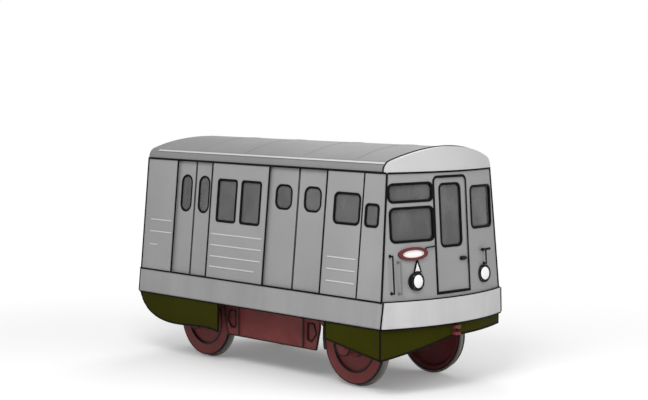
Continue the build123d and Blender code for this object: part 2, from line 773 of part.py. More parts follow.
def tank():
    body = Rotation(0, 90, 0) * Cylinder(TANK_R, TANK_LENGTH)
    body = fillet(body.edges().filter_by(GeomType.CIRCLE), TANK_END_R)
    return Pos(0, -TANK_Y, BEAM_BOTTOM - SEAT_GAP - TANK_R) * body


def coupler():
    """A drawbar pocket with two cheeks and a pin hole, hung from the front end beam."""
    low, high = COUPLER_Z
    tail = END_BEAM_X - COUPLER_TAIL
    middle = (low + high) / 2
    body = block(tail, COUPLER_END, -COUPLER_W / 2, COUPLER_W / 2, low, high)
    body = fillet(body.edges().filter_by(Axis.Z).sort_by(Axis.X)[-2:], COUPLER_W * 0.4)
    slot = (middle - COUPLER_SLOT / 2, middle + COUPLER_SLOT / 2)
    body -= block(COUPLER_END - COUPLER_JAW, COUPLER_END, -COUPLER_W, COUPLER_W, *slot)
    body -= Pos(COUPLER_END - COUPLER_PIN_BACK, 0, middle) * Cylinder(COUPLER_PIN_R, 2 * (high - low))
    front, half = COUPLER_LUG
    return body + block(tail, END_BEAM_X + front, -half, half, high, BEAM_BOTTOM)


# Front fittings, in the front's own frame

def on_front(solid):
    """Cut a fitting to the bowed face and put it in place."""
    return FRONT_FRAME * (solid - bow(0))


def on_bow(solid, proud):
    """A plate that follows the bowed face, cut from a prism."""
    return FRONT_FRAME * (solid & (bow(-proud) - bow(0)))


def front_disc(radius, y, v, proud):
    """A round boss that reaches behind the bowed face, to be cut to it."""
    return Pos(bow_x(y) + proud - radius, y, v) * Rotation(0, 90, 0) * Cylinder(radius, 2 * radius)


def oval(half_w, half_h):
    return extrude(Plane.YZ * Pos(RING_Y, RING_V) * Ellipse(half_w, half_h), SILL_HALF, both=True)


def upright_rail(y, low, high):
    x = bow_x(y) + RAIL_STAND
    rail = Pos(x, y, (low + high) / 2) * Cylinder(RAIL_R, high - low)
    for v in (low + RAIL_R, high - RAIL_R):
        rail += Pos(x - RAIL_STAND, y, v) * Rotation(0, 90, 0) * Cylinder(RAIL_R, 2 * RAIL_STAND)
    return rail


def front_rails():
    rails = [upright_rail(*row) for row in FRONT_RAILS]
    y, _, high = FRONT_RAILS[-1]
    tee = Pos(bow_x(y) + RAIL_STAND, y, high) * Rotation(90, 0, 0) * Cylinder(RAIL_R, 2 * TEE_HALF)
    rails[-1] += tee
    return [on_front(rail) for rail in rails]


def rear_rails():
    inset, low, high = REAR_RAIL
    rails = []
    for y in (inset - SILL_HALF, SILL_HALF - inset):
        rail = Pos(RAIL_STAND, y, (low + high) / 2) * Cylinder(RAIL_R, high - low)
        for v in (low + RAIL_R, high - RAIL_R):
            rail += Pos(RAIL_STAND / 2, y, v) * Rotation(0, 90, 0) * Cylinder(RAIL_R, RAIL_STAND)
        rails.append(REAR_FRAME * rail)
    return rails


def tail_lamps():
    y, v, radius, proud = TAIL_LAMP
    lamp = Rotation(0, 90, 0) * Cylinder(radius, proud)
    return [REAR_FRAME * Pos(proud / 2, side * y, v) * lamp for side in (-1, 1)]


# Inside

def bench(x0, x1):
    """A long seat along the right wall: plinth, seat shell and back in one outline."""
    def wall(z):
        return WALL + SEAT_GAP - half_width(z)
    seat = [(-BENCH_PLINTH, SILL_TOP), (-BENCH_PLINTH, BENCH_TOP - BENCH_LIP - 10)]
    seat += [(-BENCH_FRONT, BENCH_TOP - BENCH_LIP), (-BENCH_FRONT, BENCH_TOP)]
    back = [(wall(BENCH_TOP) + BENCH_BACK + BENCH_BACK_LEAN, BENCH_TOP - 10)]
    back += [(wall(BENCH_BACK_TOP) + BENCH_BACK, BENCH_BACK_TOP), (wall(BENCH_BACK_TOP), BENCH_BACK_TOP)]
    return along_x([(wall(SILL_TOP), SILL_TOP)] + seat + back, x0, x1)


def pole(x):
    rod = Pos(x, -POLE_Y, (SILL_TOP + ROOF_TOP) / 2) * Cylinder(POLE_R, ROOF_TOP - SILL_TOP)
    x0, x1 = x - 2 * POLE_R, x + 2 * POLE_R
    room = body_inside(x0, x1, SILL_TOP, CANT_Z, WALL + SEAT_GAP) + ceiling_arch(SEAT_GAP, x0, x1)
    return rod & room


def partition():
    x0, x1 = PARTITION_X, PARTITION_X + PARTITION
    wall = body_inside(x0, x1, SILL_TOP, CANT_Z, WALL + SEAT_GAP) + ceiling_arch(SEAT_GAP, x0, x1)
    return wall - block(x0, x1, -PARTITION_DOOR_HALF, PARTITION_DOOR_HALF, 0, PARTITION_DOOR_TOP)


def desk():
    """The driver's desk between the front wall and the right side, with a sloping top."""
    toe, rise = DESK_FRONT + DESK_TOE, DESK_RISE
    points = [(toe, SILL_TOP), (NOSE_X, SILL_TOP), (NOSE_X, DESK_TOP + 2 * rise)]
    points += [(DESK_FRONT + rise, DESK_TOP + rise), (DESK_FRONT, DESK_TOP), (toe, DESK_TOP - rise)]
    body = along_y(points, -SILL_HALF, -DESK_INNER) & front_inside(END_WALL + SEAT_GAP)
    return body & body_inside(0, NOSE_X, SILL_TOP, CANT_Z, WALL + SEAT_GAP)


# Assemble the nodes

walls = side_panels()
add("side_wall_right", walls)
add("side_wall_left", [mirror(wall, Plane.XZ) for wall in walls])
add("front_wall", front_wall())
add("rear_wall", rear_wall())
add("roof", roof())
add("roof_fascia", roof_fascia())
add("roof_rails", both_sides(roof_rail()))
add("floor", floor())
add("side_sills", both_sides(side_sill()))
add("front_bumper", front_bumper())
add("rear_bumper", band_full(REAR_X - REAR_BUMPER_PROUD, REAR_INNER_X))
add("rear_skirts", both_sides(rear_skirt()))
add("front_skirts", front_skirt(-1, NEAR_CORNER_Z), front_skirt(1, FAR_CORNER_Z))
add("front_valance", valance())
add("side_flutes", [piece for row in FLUTES for piece in both_sides(flute(*row))])
side_glass = [piece for pane in side_panes() for piece in both_sides(pane)]
add("window_panes", side_glass, front_panes(), rear_panes())

for side_name in ("right", "left"):
    for door in DOORWAYS:
        for end in ("rear", "front"):
            name = f"{side_name}_{door}_door_{end}_leaf"
            leaf, pane = door_leaf(door, end), leaf_pane(door, end)
            if side_name == "left":
                leaf, pane = mirror(leaf, Plane.XZ), mirror(pane, Plane.XZ)
            add(name, leaf)
            add(name + "_glass", pane)

add("front_end_door", FRONT_FRAME * end_door())
add("front_end_door_glass", FRONT_FRAME * end_door_pane())
add("rear_end_door", REAR_FRAME * end_door())
add("rear_end_door_glass", REAR_FRAME * end_door_pane())

rims, lenses = [], []
for y in (-LAMP_Y, LAMP_Y):
    rim = front_disc(LAMP_R, y, LAMP_V, LAMP_PROUD) - front_disc(LENS_R, y, LAMP_V, LENS_R)
    rims.append(on_front(rim))
    lenses.append(on_front(front_disc(LENS_R - SEAT_GAP, y, LAMP_V, LENS_PROUD)))
add("headlamp_rims", rims)
add("headlamp_lenses", lenses)
inner_w, inner_h = RING_INNER
add("plate_ring", on_bow(oval(*RING_OUTER) - oval(inner_w, inner_h), RING_PROUD))
add("front_plate", on_bow(oval(inner_w - SEAT_GAP, inner_h - SEAT_GAP), PLATE_PROUD))
add("grab_rails", front_rails(), rear_rails())
add("tail_lamps", tail_lamps())

add("underframe", underframe())
add("side_frames", both_sides(side_frame()))
add("axle_boxes", [end for box in both_sides(axle_box()) for end in both_ends(box)])
add("leaf_springs", [end for spring in both_sides(leaf_spring()) for end in both_ends(spring)])
add("traction_motors", both_ends(motor()))
add("brake_gear", both_ends(brake_pair()))
length, width, depth = CASE
add("equipment_case", Pos(0, 0, BEAM_BOTTOM - depth / 2) * Box(length, width, depth))
add("air_tanks", both_sides(tank()))
add("couplers", both_ends(coupler()))

for end_name, x in (("front", AXLE_X), ("rear", -AXLE_X)):
    place = Pos(x, 0, AXLE_Z)
    add(f"{end_name}_axle", place * axle())
    add(f"{end_name}_wheels", [place * piece for piece in both_sides(wheel())])

add("benches", [piece for row in BENCHES for piece in both_sides(bench(*row))])
add("poles", [piece for x in POLES for piece in both_sides(pole(x))])
add("cab_partition", partition())
add("cab_desk", desk())

os.makedirs("parts", exist_ok=True)
for name, shape in PARTS.items():
    export_step(shape, f"parts/{name}.step")
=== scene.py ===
import bpy
from contextlib import contextmanager
from math import asin, atan, atan2, cos, pi, radians, sin, sqrt
from mathutils import Matrix, Vector


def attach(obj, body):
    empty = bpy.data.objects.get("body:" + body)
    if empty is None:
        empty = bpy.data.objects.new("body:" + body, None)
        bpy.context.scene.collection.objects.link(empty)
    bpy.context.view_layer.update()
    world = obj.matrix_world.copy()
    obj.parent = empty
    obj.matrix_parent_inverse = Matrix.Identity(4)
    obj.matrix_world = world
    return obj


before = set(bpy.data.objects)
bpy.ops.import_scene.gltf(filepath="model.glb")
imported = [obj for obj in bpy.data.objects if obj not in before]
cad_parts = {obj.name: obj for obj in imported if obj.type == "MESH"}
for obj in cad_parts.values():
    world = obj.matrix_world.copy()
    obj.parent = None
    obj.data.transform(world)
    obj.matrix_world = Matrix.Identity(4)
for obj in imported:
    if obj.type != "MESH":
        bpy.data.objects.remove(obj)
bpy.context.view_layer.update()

# The car's own sizes, in metres, as its solids have them
REAR_X, NOSE_X, BODY_BOW = -2.98, 2.96, 0.26
SILL_HALF, CANT_HALF = 1.33, 1.16
BAND_BOTTOM, SILL_TOP, CANT_Z, ROOF_TOP = 1.02, 1.42, 3.30, 3.662
WALL_HEIGHT, FRONT_LEANS_BY = CANT_Z - SILL_TOP, 0.14
SLOPE = (SILL_HALF - CANT_HALF) / WALL_HEIGHT
LEAN, RAKE = atan(SLOPE), atan(FRONT_LEANS_BY / WALL_HEIGHT)
BOW_R = (SILL_HALF ** 2 + BODY_BOW ** 2) / (2 * BODY_BOW)
CROWN_R, SHOULDER_R, END_WALL = 3.0, 0.17, 0.06
BAND_TOP_HALF, BAND_LOW_HALF, BAND_CHAMFER, BAND_KNEE = SILL_HALF + 0.005, 1.372, 0.028, 1.048
BUMPER_PROUD, REAR_BUMPER_PROUD = 0.040, 0.020
ROOF_SEAMS = (-1.73, -0.59, 0.75, 1.90)

# Doorways and panels from end to end. A window is its middle, then its width, height and corner;
# on the sides its middle is X and Z, and on the ends Y and the distance up the wall from the sill
DOORWAYS = {"rear": (-2.18, -1.28), "front": (0.10, 1.40)}
PANELS = [(-2.92, -2.24), (-1.22, 0.04), (1.46, 2.12), (2.24, 2.51)]
CAB_JOINT_X, LEAF_DEPTH = 2.18, 0.038
LEAF_WINDOWS = {"rear": (2.760, 0.230, 0.560, 0.105), "front": (2.830, 0.330, 0.340, 0.100)}
SIDE_WINDOWS = [
    (-0.880, 2.690, 0.420, 0.640, 0.025),
    (-0.300, 2.690, 0.420, 0.640, 0.025),
    (1.860, 2.740, 0.500, 0.420, 0.060),
    (2.385, 2.670, 0.230, 0.290, 0.040),
]
FRONT_WINDOWS = [
    (-0.775, 1.600, 0.730, 0.230, 0.060),
    (-0.770, 1.130, 0.720, 0.460, 0.060),
    (0.800, 1.320, 0.600, 0.600, 0.060),
]
REAR_WINDOWS = [(-0.780, 1.270, 0.480, 0.640, 0.060), (0.780, 1.270, 0.480, 0.640, 0.060)]
DOOR_BACK, DOOR_WINDOW = 0.025, (0.0, 1.232, 0.430, 0.900, 0.060)
DOORWAY_HALF, DOORWAY_SILL, DOORWAY_TOP, DOORWAY_CORNER = 0.351, 0.092, 1.798, 0.066

# Fittings of the ends, placed as the windows there
HANDLE_Y, HANDLE_V, HANDLE_PROUD = 0.265, 0.565, 0.008
LAMP_Y, LAMP_V, LAMP_R, LAMP_PROUD, DOME_R = 0.760, 0.290, 0.138, 0.042, 0.101
RING_Y, RING_V, PLATE_PROUD = -0.800, 0.700, 0.018
RAIL_R, RAIL_STAND = 0.012, 0.055
FRONT_RAILS = [(-1.170, 0.130, 0.700), (-1.050, 0.120, 0.610), (0.800, 0.430, 0.660)]
REAR_RAILS = [(-1.130, 0.200, 0.800), (1.130, 0.200, 0.800)]
TAIL_Y, TAIL_V, TAIL_R = 0.950, 0.260, 0.070

# Skirts, running gear and underfloor
SKIRT_OUTER, NEAR_CORNER_Z, FAR_CORNER_Z = 1.340, 0.560, 0.860
FRONT_SKIRT_X, FRONT_SKIRT_Z, APRON_Z, APRON_SLOT = 1.540, 0.760, 0.840, 0.070
AXLE_X, AXLE_Z, BOX_FACE, BOX_COVER_R = 1.75, 0.65, 1.175, 0.150
WHEEL_FACE, WHEEL_WEB, RIM_INNER_R, HUB_R, TREAD_R = 0.935, 0.893, 0.425, 0.178, 0.620
FRAME_OUTER, FRAME_LOW, FRAME_RIB_X = 1.040, 0.480, 0.760
FRAME_LOWER = [(-1.12, 1.02), (-1.12, 0.82), (-1.04, 0.48), (1.04, 0.48), (1.12, 0.82), (1.12, 1.02)]
FRAME_POCKET = [(0.850, 0.620), (0.940, 0.600), (1.050, 0.730), (0.990, 0.880), (0.850, 0.880)]
CASE_HALF_X, CASE_HALF_Y, CASE_LOW, PIPE_X, PIPE_Z = 0.650, 0.470, 0.780, 2.400, 1.150
TANK_Y, TANK_Z, TANK_R, MOTOR_X, MOTOR_Z, MOTOR_R = 0.760, 1.040, 0.140, 1.330, 0.640, 0.250

# Inside
BENCHES, BENCH_TOP = [(-2.900, -2.230), (-1.230, 0.050), (1.450, 2.135)], 1.870
DESK_X, DESK_TOP, STOOL_X, STOOL_Y, STOOL_SEAT = 2.620, 2.140, 2.335, -0.800, 1.820
CEILING_Z, HAND_RAIL_Y, HAND_RAIL_Z = 3.530, -0.700, 3.060

# Frames: the leaning right side, the raked front and the rear, each from its sill
SIDE = Matrix.Translation((0, -SILL_HALF, SILL_TOP)) @ Matrix.Rotation(-LEAN, 4, "X")
FRONT = Matrix.Translation((NOSE_X, 0, SILL_TOP)) @ Matrix.Rotation(-RAKE, 4, "Y")
REAR = Matrix.Translation((REAR_X, 0, SILL_TOP)) @ Matrix.Rotation(pi, 4, "Z")
MIRROR = Matrix.Diagonal((1, -1, 1, 1))

# Turns: a face that looks up is made to look right or forwards, a plate forwards with its top up
TO_RIGHT = Matrix.Rotation(pi / 2, 4, "X")
TO_FRONT = Matrix.Rotation(pi / 2, 4, "Y")
FORWARDS = Matrix.Rotation(pi / 2, 4, "Z") @ TO_RIGHT


# Nodes of a material

def feed(target, inputs):
    """Give a node its inputs, each a number, a colour or the output of another node."""
    for key, value in inputs.items():
        if isinstance(value, bpy.types.NodeSocket):
            target.id_data.links.new(value, target.inputs[key])
        else:
            target.inputs[key].default_value = value


def node(tree, kind, inputs=None, **settings):
    made = tree.nodes.new("ShaderNode" + kind)
    for key, value in settings.items():
        setattr(made, key, value)
    feed(made, inputs or {})
    return made


def parts_of(material):
    """A material's shader, and the place on the piece."""
    nodes = material.node_tree.nodes
    return nodes["Principled BSDF"], nodes["Texture Coordinate"].outputs["Object"]


def start(name):
    """A new material with its shader and the place on the piece."""
    material = bpy.data.materials.new(name)
    material.use_nodes = True
    node(material.node_tree, "TexCoord")
    return (material, *parts_of(material))


def noise(coords, scale, detail=3.0, stretch=None):
    tree = coords.id_data
    if stretch:
        coords = node(tree, "Mapping", {"Vector": coords, "Scale": stretch}).outputs["Vector"]
    return node(tree, "TexNoise", {"Vector": coords, "Scale": scale, "Detail": detail}).outputs["Fac"]


def spread(value, low, high, to_low=0.0, to_high=1.0, **settings):
    """Stretch a value from one range to another."""
    ends = {"From Min": low, "From Max": high, "To Min": to_low, "To Max": to_high}
    return node(value.id_data, "MapRange", {"Value": value, **ends}, **settings).outputs["Result"]


def maths(operation, one, two):
    return node(one.id_data, "Math", {0: one, 1: two}, operation=operation).outputs["Value"]


def times(one, two):
    return maths("MULTIPLY", one, two)


def blend(share, one, two):
    """Mix two colours by a share."""
    mix = node(share.id_data, "Mix", {"Factor": share}, data_type="RGBA")
    for key, value in (("A", one), ("B", two)):
        index = [i for i, s in enumerate(mix.inputs) if s.name == key and s.type == "RGBA"][0]
        feed(mix, {index: (*value, 1) if isinstance(value, tuple) else value})
    return [s for s in mix.outputs if s.type == "RGBA"][0]


def height_of(coords):
    return node(coords.id_data, "SeparateXYZ", {"Vector": coords}).outputs["Z"]


def distance_from(coords, centre, keep=(1, 1, 1)):
    """How far a point is from a centre, along the axes that are kept."""
    tree = coords.id_data
    place = {"Location": [-c * k for c, k in zip(centre, keep)], "Scale": keep}
    moved = node(tree, "Mapping", {"Vector": coords, **place}).outputs["Vector"]
    return node(tree, "VectorMath", {0: moved}, operation="LENGTH").outputs["Value"]


def relief(shader, value, strength, distance):
    bump = node(value.id_data, "Bump", {"Height": value, "Strength": strength, "Distance": distance})
    feed(shader, {"Normal": bump.outputs["Normal"]})


def overlay(shader, share, colour):
    """Lay a second colour over a finished paint where a share is one."""
    below = shader.inputs["Base Color"].links[0].from_socket
    feed(shader, {"Base Color": blend(share, below, colour)})


def scaled(colour, factor):
    return tuple(min(1.0, channel * factor) for channel in colour)


# Colours, as the shader takes them
GREY, PALE, DUST = (0.319, 0.319, 0.322), (0.590, 0.590, 0.592), (0.17, 0.155, 0.135)
# OLIVE_PAINTED_SHADE is painted shade: a near-black olive that stands in for the shadow under the body
BROWN, RUST, OLIVE_PAINTED_SHADE = (0.175, 0.034, 0.034), (0.12, 0.045, 0.02), (0.029, 0.029, 0.0005)
NIGHT, SOOT, WORN_RUBBER = (0.004, 0.004, 0.004), (0.0025, 0.0025, 0.0028), (0.016, 0.0155, 0.015)
WORN_STEEL, BARE_RAIL = (0.24, 0.225, 0.21), (0.20, 0.20, 0.205)
DUST_NONE_Z, DUST_FULL_Z = 1.9, 0.6


def painted(name, colour, roughness, fade=0.07, dirt=0.30, specular=0.35, grain=0.06):
    """Sprayed enamel: a slow fade, fine orange peel, and road dust that runs down in streaks."""
    material, shader, coords = start(name)
    broad = spread(noise(coords, 0.8, 4), 0.3, 0.7)
    shade = blend(broad, scaled(colour, 1 - fade), scaled(colour, 1 + fade))
    streaks = spread(noise(coords, 1.0, 5, (5.0, 5.0, 0.55)), 0.38, 0.72)
    low = spread(height_of(coords), DUST_NONE_Z, DUST_FULL_Z)
    feed(shader, {
        "Base Color": blend(times(times(streaks, low), dirt), shade, DUST),
        "Roughness": spread(noise(coords, 38.0, 4), 0.3, 0.7, roughness - 0.06, roughness + 0.08),
        "Specular IOR Level": specular,
    })
    relief(shader, noise(coords, 160.0, 2), grain, 0.002)
    return material


def band_enamel(name):
    """The pale paint of the front band, up to the corner where the side's grey begins."""
    material = painted(name, PALE, 0.42, fade=0.05, dirt=0.22)
    shader, coords = parts_of(material)
    reach = distance_from(coords, (NOSE_X - BOW_R, 0, 0), (1, 1, 0))
    overlay(shader, spread(reach, BOW_R + 0.035, BOW_R + 0.030), GREY)
    return material


def cast(name, roughness, grain):
    """Sand-cast iron under old brown paint, with rusty patches and brake dust."""
    material, shader, coords = start(name)
    broad = spread(noise(coords, 2.2, 5), 0.35, 0.7)
    shade = blend(broad, scaled(BROWN, 0.85), scaled(BROWN, 1.15))
    patches = spread(noise(coords, 7.0, 6), 0.52, 0.66)
    rusty = blend(times(patches, 0.3), shade, RUST)
    film = times(spread(noise(coords, 3.0, 5, (1, 1, 2.5)), 0.45, 0.7), 0.15)
    feed(shader, {
        "Base Color": blend(film, rusty, scaled(DUST, 0.55)),
        "Roughness": spread(noise(coords, 60.0, 5), 0.3, 0.7, roughness - 0.12, roughness + 0.12),
        "Specular IOR Level": 0.22,
    })
    relief(shader, noise(coords, 90.0, 4), grain, 0.003)
    return material


def wheel_cast(name):
    """The same iron, dark with oil at the rim's edge, its tread and flange worn bright by the rail."""
    material = cast(name, 0.58, 0.15)
    shader, coords = parts_of(material)
    ahead = node(coords.id_data, "VectorMath", {0: coords}, operation="ABSOLUTE").outputs["Vector"]
    reach = distance_from(ahead, (AXLE_X, 0, AXLE_Z), (1, 0, 1))
    overlay(shader, spread(reach, TREAD_R - 0.028, TREAD_R - 0.022), NIGHT)
    worn = spread(reach, TREAD_R - 0.0035, TREAD_R - 0.0015)
    overlay(shader, worn, WORN_STEEL)
    feed(shader, {"Metallic": times(worn, 0.75)})
    return material


def rubber(name):
    """Black moulded rubber, dusty grey in places."""
    material, shader, coords = start(name)
    bloom = spread(noise(coords, 9.0, 5), 0.5, 0.8, 0.0, 0.25)
    fine = noise(coords, 120.0, 3)
    feed(shader, {
        "Base Color": blend(bloom, SOOT, WORN_RUBBER),
        "Roughness": spread(fine, 0.3, 0.7, 0.5, 0.72),
        "Specular IOR Level": 0.08,
    })
    relief(shader, fine, 0.15, 0.001)
    return material


def metal(name, colour, roughness, stretch, scale, metallic=1.0):
    """Drawn or brushed metal, its fine lines along the stretch."""
    material, shader, coords = start(name)
    lines = noise(coords, scale, 4, stretch)
    feed(shader, {
        "Base Color": blend(lines, scaled(colour, 0.85), scaled(colour, 1.12)),
        "Roughness": spread(lines, 0.3, 0.7, roughness - 0.08, roughness + 0.10),
        "Metallic": metallic,
    })
    relief(shader, lines, 0.08, 0.001)
    return material


def grab_rail_finish(name):
    """Black enamel on the rails, and bare steel on the second one, inside the right corner."""
    material = painted(name, NIGHT, 0.32, dirt=0.03, specular=0.15)
    shader, coords = parts_of(material)
    reach = distance_from(coords, (NOSE_X - BODY_BOW / 2, FRONT_RAILS[1][0], 0), (0.3, 1, 0))
    overlay(shader, spread(reach, 0.072, 0.068), BARE_RAIL)
    return material


def smoked_glass(name, colour, alpha):
    """Smoked safety glass, denser where a film of dust lies on it."""
    material, shader, coords = start(name)
    film = spread(noise(coords, 3.0, 5, (1, 1, 0.5)), 0.42, 0.78)
    feed(shader, {
        "Base Color": blend(film, colour, scaled(colour, 1.5)),
        "Roughness": spread(noise(coords, 11.0, 5), 0.35, 0.7, 0.04, 0.10),
        "Alpha": spread(film, 0.0, 1.0, alpha, alpha + 0.12),
        "Specular IOR Level": 0.4,
    })
    relief(shader, noise(coords, 1.6, 2), 0.02, 0.01)
    return material


def ribbed_glass(name):
    """The lamp's pressed glass: upright ribs over a white reflector."""
    material, shader, coords = start(name)
    glow = spread(noise(coords, 14.0, 3), 0.3, 0.7)
    feed(shader, {
        "Base Color": blend(glow, (0.92, 0.92, 0.91), (0.97, 0.97, 0.96)),
        "Roughness": spread(glow, 0.0, 1.0, 0.08, 0.16),
        "Coat Weight": 0.5,
        "Coat Roughness": 0.05,
    })
    wave = {"Vector": coords, "Scale": 24.0, "Distortion": 0.0}
    ribs = node(coords.id_data, "TexWave", wave, bands_direction="Y")
    relief(shader, ribs.outputs["Fac"], 0.12, 0.002)
    return material


def plastic(name, colour, roughness, grain=0.12):
    """Moulded plastic or floor rubber with a fine pebbled grain."""
    material, shader, coords = start(name)
    tone = spread(noise(coords, 5.0, 4), 0.3, 0.7)
    fine = noise(coords, 180.0, 3)
    feed(shader, {
        "Base Color": blend(tone, scaled(colour, 0.92), scaled(colour, 1.07)),
        "Roughness": spread(fine, 0.3, 0.7, roughness - 0.05, roughness + 0.08),
    })
    relief(shader, fine, grain, 0.001)
    return material


body_paint = painted("body_enamel", GREY, 0.42)
# Painted shade: the roof's grey is 0.76 times the side's, darker to offset the stronger light that falls on
# the top
roof_paint_with_painted_shade = painted("roof_enamel_with_painted_shade", scaled(GREY, 0.76), 0.58, dirt=0.1, specular=0.15, grain=0.12)
door_paint = painted("door_enamel", scaled(GREY, 0.98), 0.38, fade=0.05)
# Painted shade: the fascia's pale is 0.95 times the band's, darker to offset the light on the car's top
# front edge
fascia_paint_with_painted_shade = painted("fascia_enamel_with_painted_shade", scaled(PALE, 0.95), 0.42, fade=0.04, dirt=0.1)
band_paint = band_enamel("band_enamel")
# Painted shade: the skirts take the near-black olive that stands in for the shadow under the body
skirt_paint_as_shade = painted("skirt_enamel_as_shade", OLIVE_PAINTED_SHADE, 0.72, fade=0.18, dirt=0.01, specular=0.05, grain=0.12)
strip_metal = metal("strip_aluminium", (0.62, 0.62, 0.63), 0.38, (1, 12, 12), 8.0, 0.30)
black_rubber = rubber("black_rubber")
truck_iron = cast("truck_iron", 0.62, 0.2)
wheel_iron = wheel_cast("wheel_iron")
dark_under = painted("underfloor_enamel", (0.040, 0.036, 0.033), 0.66, 0.2, 0.25, 0.15, 0.2)
pane_glass = smoked_glass("smoked_pane", (0.115, 0.115, 0.117), 0.66)
black_paint = painted("black_enamel", NIGHT, 0.30, dirt=0.03, specular=0.18)
lamp_glass = ribbed_glass("lamp_glass")
ring_paint = painted("ring_enamel", (0.128, 0.030, 0.030), 0.35, dirt=0.02, specular=0.2)
plate_paint = painted("plate_enamel", (0.96, 0.96, 0.95), 0.30, fade=0.02, dirt=0.02)
rail_metal = grab_rail_finish("grab_rail_finish")
bare_steel = metal("bare_steel", (0.42, 0.42, 0.43), 0.34, (0.3, 10, 10), 12.0)
tail_glass = plastic("tail_red_glass", (0.45, 0.012, 0.012), 0.15, 0.02)
floor_cover = plastic("floor_rubber", (0.10, 0.10, 0.105), 0.7, 0.3)
bench_shell = plastic("bench_plastic", (0.26, 0.26, 0.27), 0.45)
inner_paint = plastic("inner_enamel", (0.42, 0.42, 0.42), 0.5)

# Each finish, its slot in the record, and the solids that wear it
FINISHES = [
    (body_paint, "body_grey",
     ["side_wall_right", "side_wall_left", "front_wall", "rear_wall", "side_sills", "rear_bumper"]),
    (roof_paint_with_painted_shade, "body_grey", ["roof"]),
    (fascia_paint_with_painted_shade, "light_grey", ["roof_fascia"]),
    (band_paint, "light_grey", ["front_bumper"]),
    (door_paint, "door_grey", ["front_end_door", "rear_end_door"]),
    (strip_metal, "flute_grey", ["roof_rails", "side_flutes"]),
    (skirt_paint_as_shade, "skirt_olive", ["rear_skirts", "front_skirts", "front_valance"]),
    (pane_glass, "window_glass", ["window_panes"]),
    (black_paint, "lamp_black", ["headlamp_rims"]),
    (lamp_glass, "lamp_white", ["headlamp_lenses"]),
    (ring_paint, "ring_brown", ["plate_ring"]),
    (plate_paint, "plate_white", ["front_plate"]),
    (rail_metal, "rail_steel", ["grab_rails"]),
    (bare_steel, "rail_steel", ["poles"]),
    (tail_glass, "tail_red", ["tail_lamps"]),
    (truck_iron, "truck_brown", ["side_frames", "axle_boxes", "couplers"]),
    (wheel_iron, "wheel_brown", ["front_axle", "rear_axle", "front_wheels", "rear_wheels"]),
    (dark_under, "under_dark",
     ["underframe", "leaf_springs", "traction_motors", "brake_gear", "equipment_case", "air_tanks"]),
    (floor_cover, "floor_grey", ["floor"]),
    (bench_shell, "bench_plastic", ["benches"]),
    (inner_paint, "inner_grey", ["cab_partition", "cab_desk"]),
]
worn_by = {name: finish for finish, _, names in FINISHES for name in names}
for name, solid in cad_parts.items():
    solid.data.materials.clear()
    solid.data.materials.append(pane_glass if name.endswith("_glass") else worn_by.get(name, door_paint))


# Modelling steps

def pick(*pieces):
    bpy.ops.object.select_all(action="DESELECT")
    for piece in pieces:
        piece.select_set(True)
    bpy.context.view_layer.objects.active = pieces[0]


@contextmanager
def editing(piece, mode="FACE", chosen=None):
    """Edit mode, with the points, edges or faces that a test picks, or all of them."""
    pick(piece)
    parts = {"VERT": piece.data.vertices, "EDGE": piece.data.edges, "FACE": piece.data.polygons}
    bpy.context.tool_settings.mesh_select_mode = [mode == kind for kind in parts]
    for group in parts.values():
        group.foreach_set("select", [False] * len(group))
    for part in parts[mode]:
        part.select = chosen is None or chosen(part)
    bpy.ops.object.mode_set(mode="EDIT")
    yield
    bpy.ops.object.mode_set(mode="OBJECT")


def primitive(kind, **form):
    """A new primitive, alone in the selection."""
    bpy.ops.object.select_all(action="DESELECT")
    getattr(bpy.ops.mesh, f"primitive_{kind}_add")(**form)
    return bpy.context.active_object


def linked(thing):
    bpy.context.scene.collection.objects.link(thing)
    return thing


def bake_place(*pieces):
    pick(*pieces)
    bpy.ops.object.transform_apply(location=True, rotation=True, scale=True)


def put(piece, place):
    """Move a piece, from its wall's own frame to the car's for one, and keep its object at the origin."""
    piece.matrix_world = place
    bake_place(piece)
    return piece


def modify(piece, kind, **settings):
    pick(piece)
    modifier = piece.modifiers.new(kind.lower(), kind)
    for key, value in settings.items():
        setattr(modifier, key, value)
    bpy.ops.object.modifier_apply(modifier=modifier.name)


def smooth(piece, angle):
    pick(piece)
    bpy.ops.object.shade_smooth_by_angle(angle=radians(angle))
    return piece


def soften(piece, width):
    """Round the sharp edges and shade the rest smooth."""
    modify(piece, "BEVEL", width=width, segments=2, limit_method="ANGLE", angle_limit=radians(30))
    return smooth(piece, 35)


def thicken(piece, thick):
    modify(piece, "SOLIDIFY", thickness=thick, offset=1.0, use_even_offset=True)


def face_plate(width, height, radius, turn, place, top_only=False, segments=6):
    """A flat plate with round corners, all or only those at its top, its normal turned outwards."""
    piece = put(primitive("plane", size=1), Matrix.Diagonal((width, height, 1, 1)))
    with editing(piece, "VERT", (lambda point: point.co.y > 0) if top_only else None):
        bpy.ops.mesh.bevel(offset=radius, segments=segments, affect="VERTICES")
    return put(piece, Matrix.Translation(place) @ turn)


def hollow(piece, border):
    """Turn a plate into a flat ring of even width."""
    with editing(piece):
        bpy.ops.mesh.inset(thickness=border, use_even_offset=True)
        bpy.ops.mesh.delete(type="FACE")


def face_outwards(piece):
    with editing(piece):
        bpy.ops.mesh.normals_make_consistent(inside=False)


def copied(piece, place):
    """A copy with its own mesh, at another place."""
    copy = piece.copy()
    copy.data = piece.data.copy()
    copy.matrix_world = place
    return linked(copy)


def mirrored(piece):
    """The same piece on the left side, its faces turned outwards again."""
    copy = put(copied(piece, MIRROR), MIRROR)
    face_outwards(copy)
    return copy


def many(seed, places):
    """Copies of one small piece, which is then removed."""
    copies = [copied(seed, place) for place in places]
    bpy.data.objects.remove(seed)
    bake_place(*copies)
    return copies


def joined(pieces):
    pick(*pieces)
    if len(pieces) > 1:
        bpy.ops.object.join()
    return bpy.context.active_object


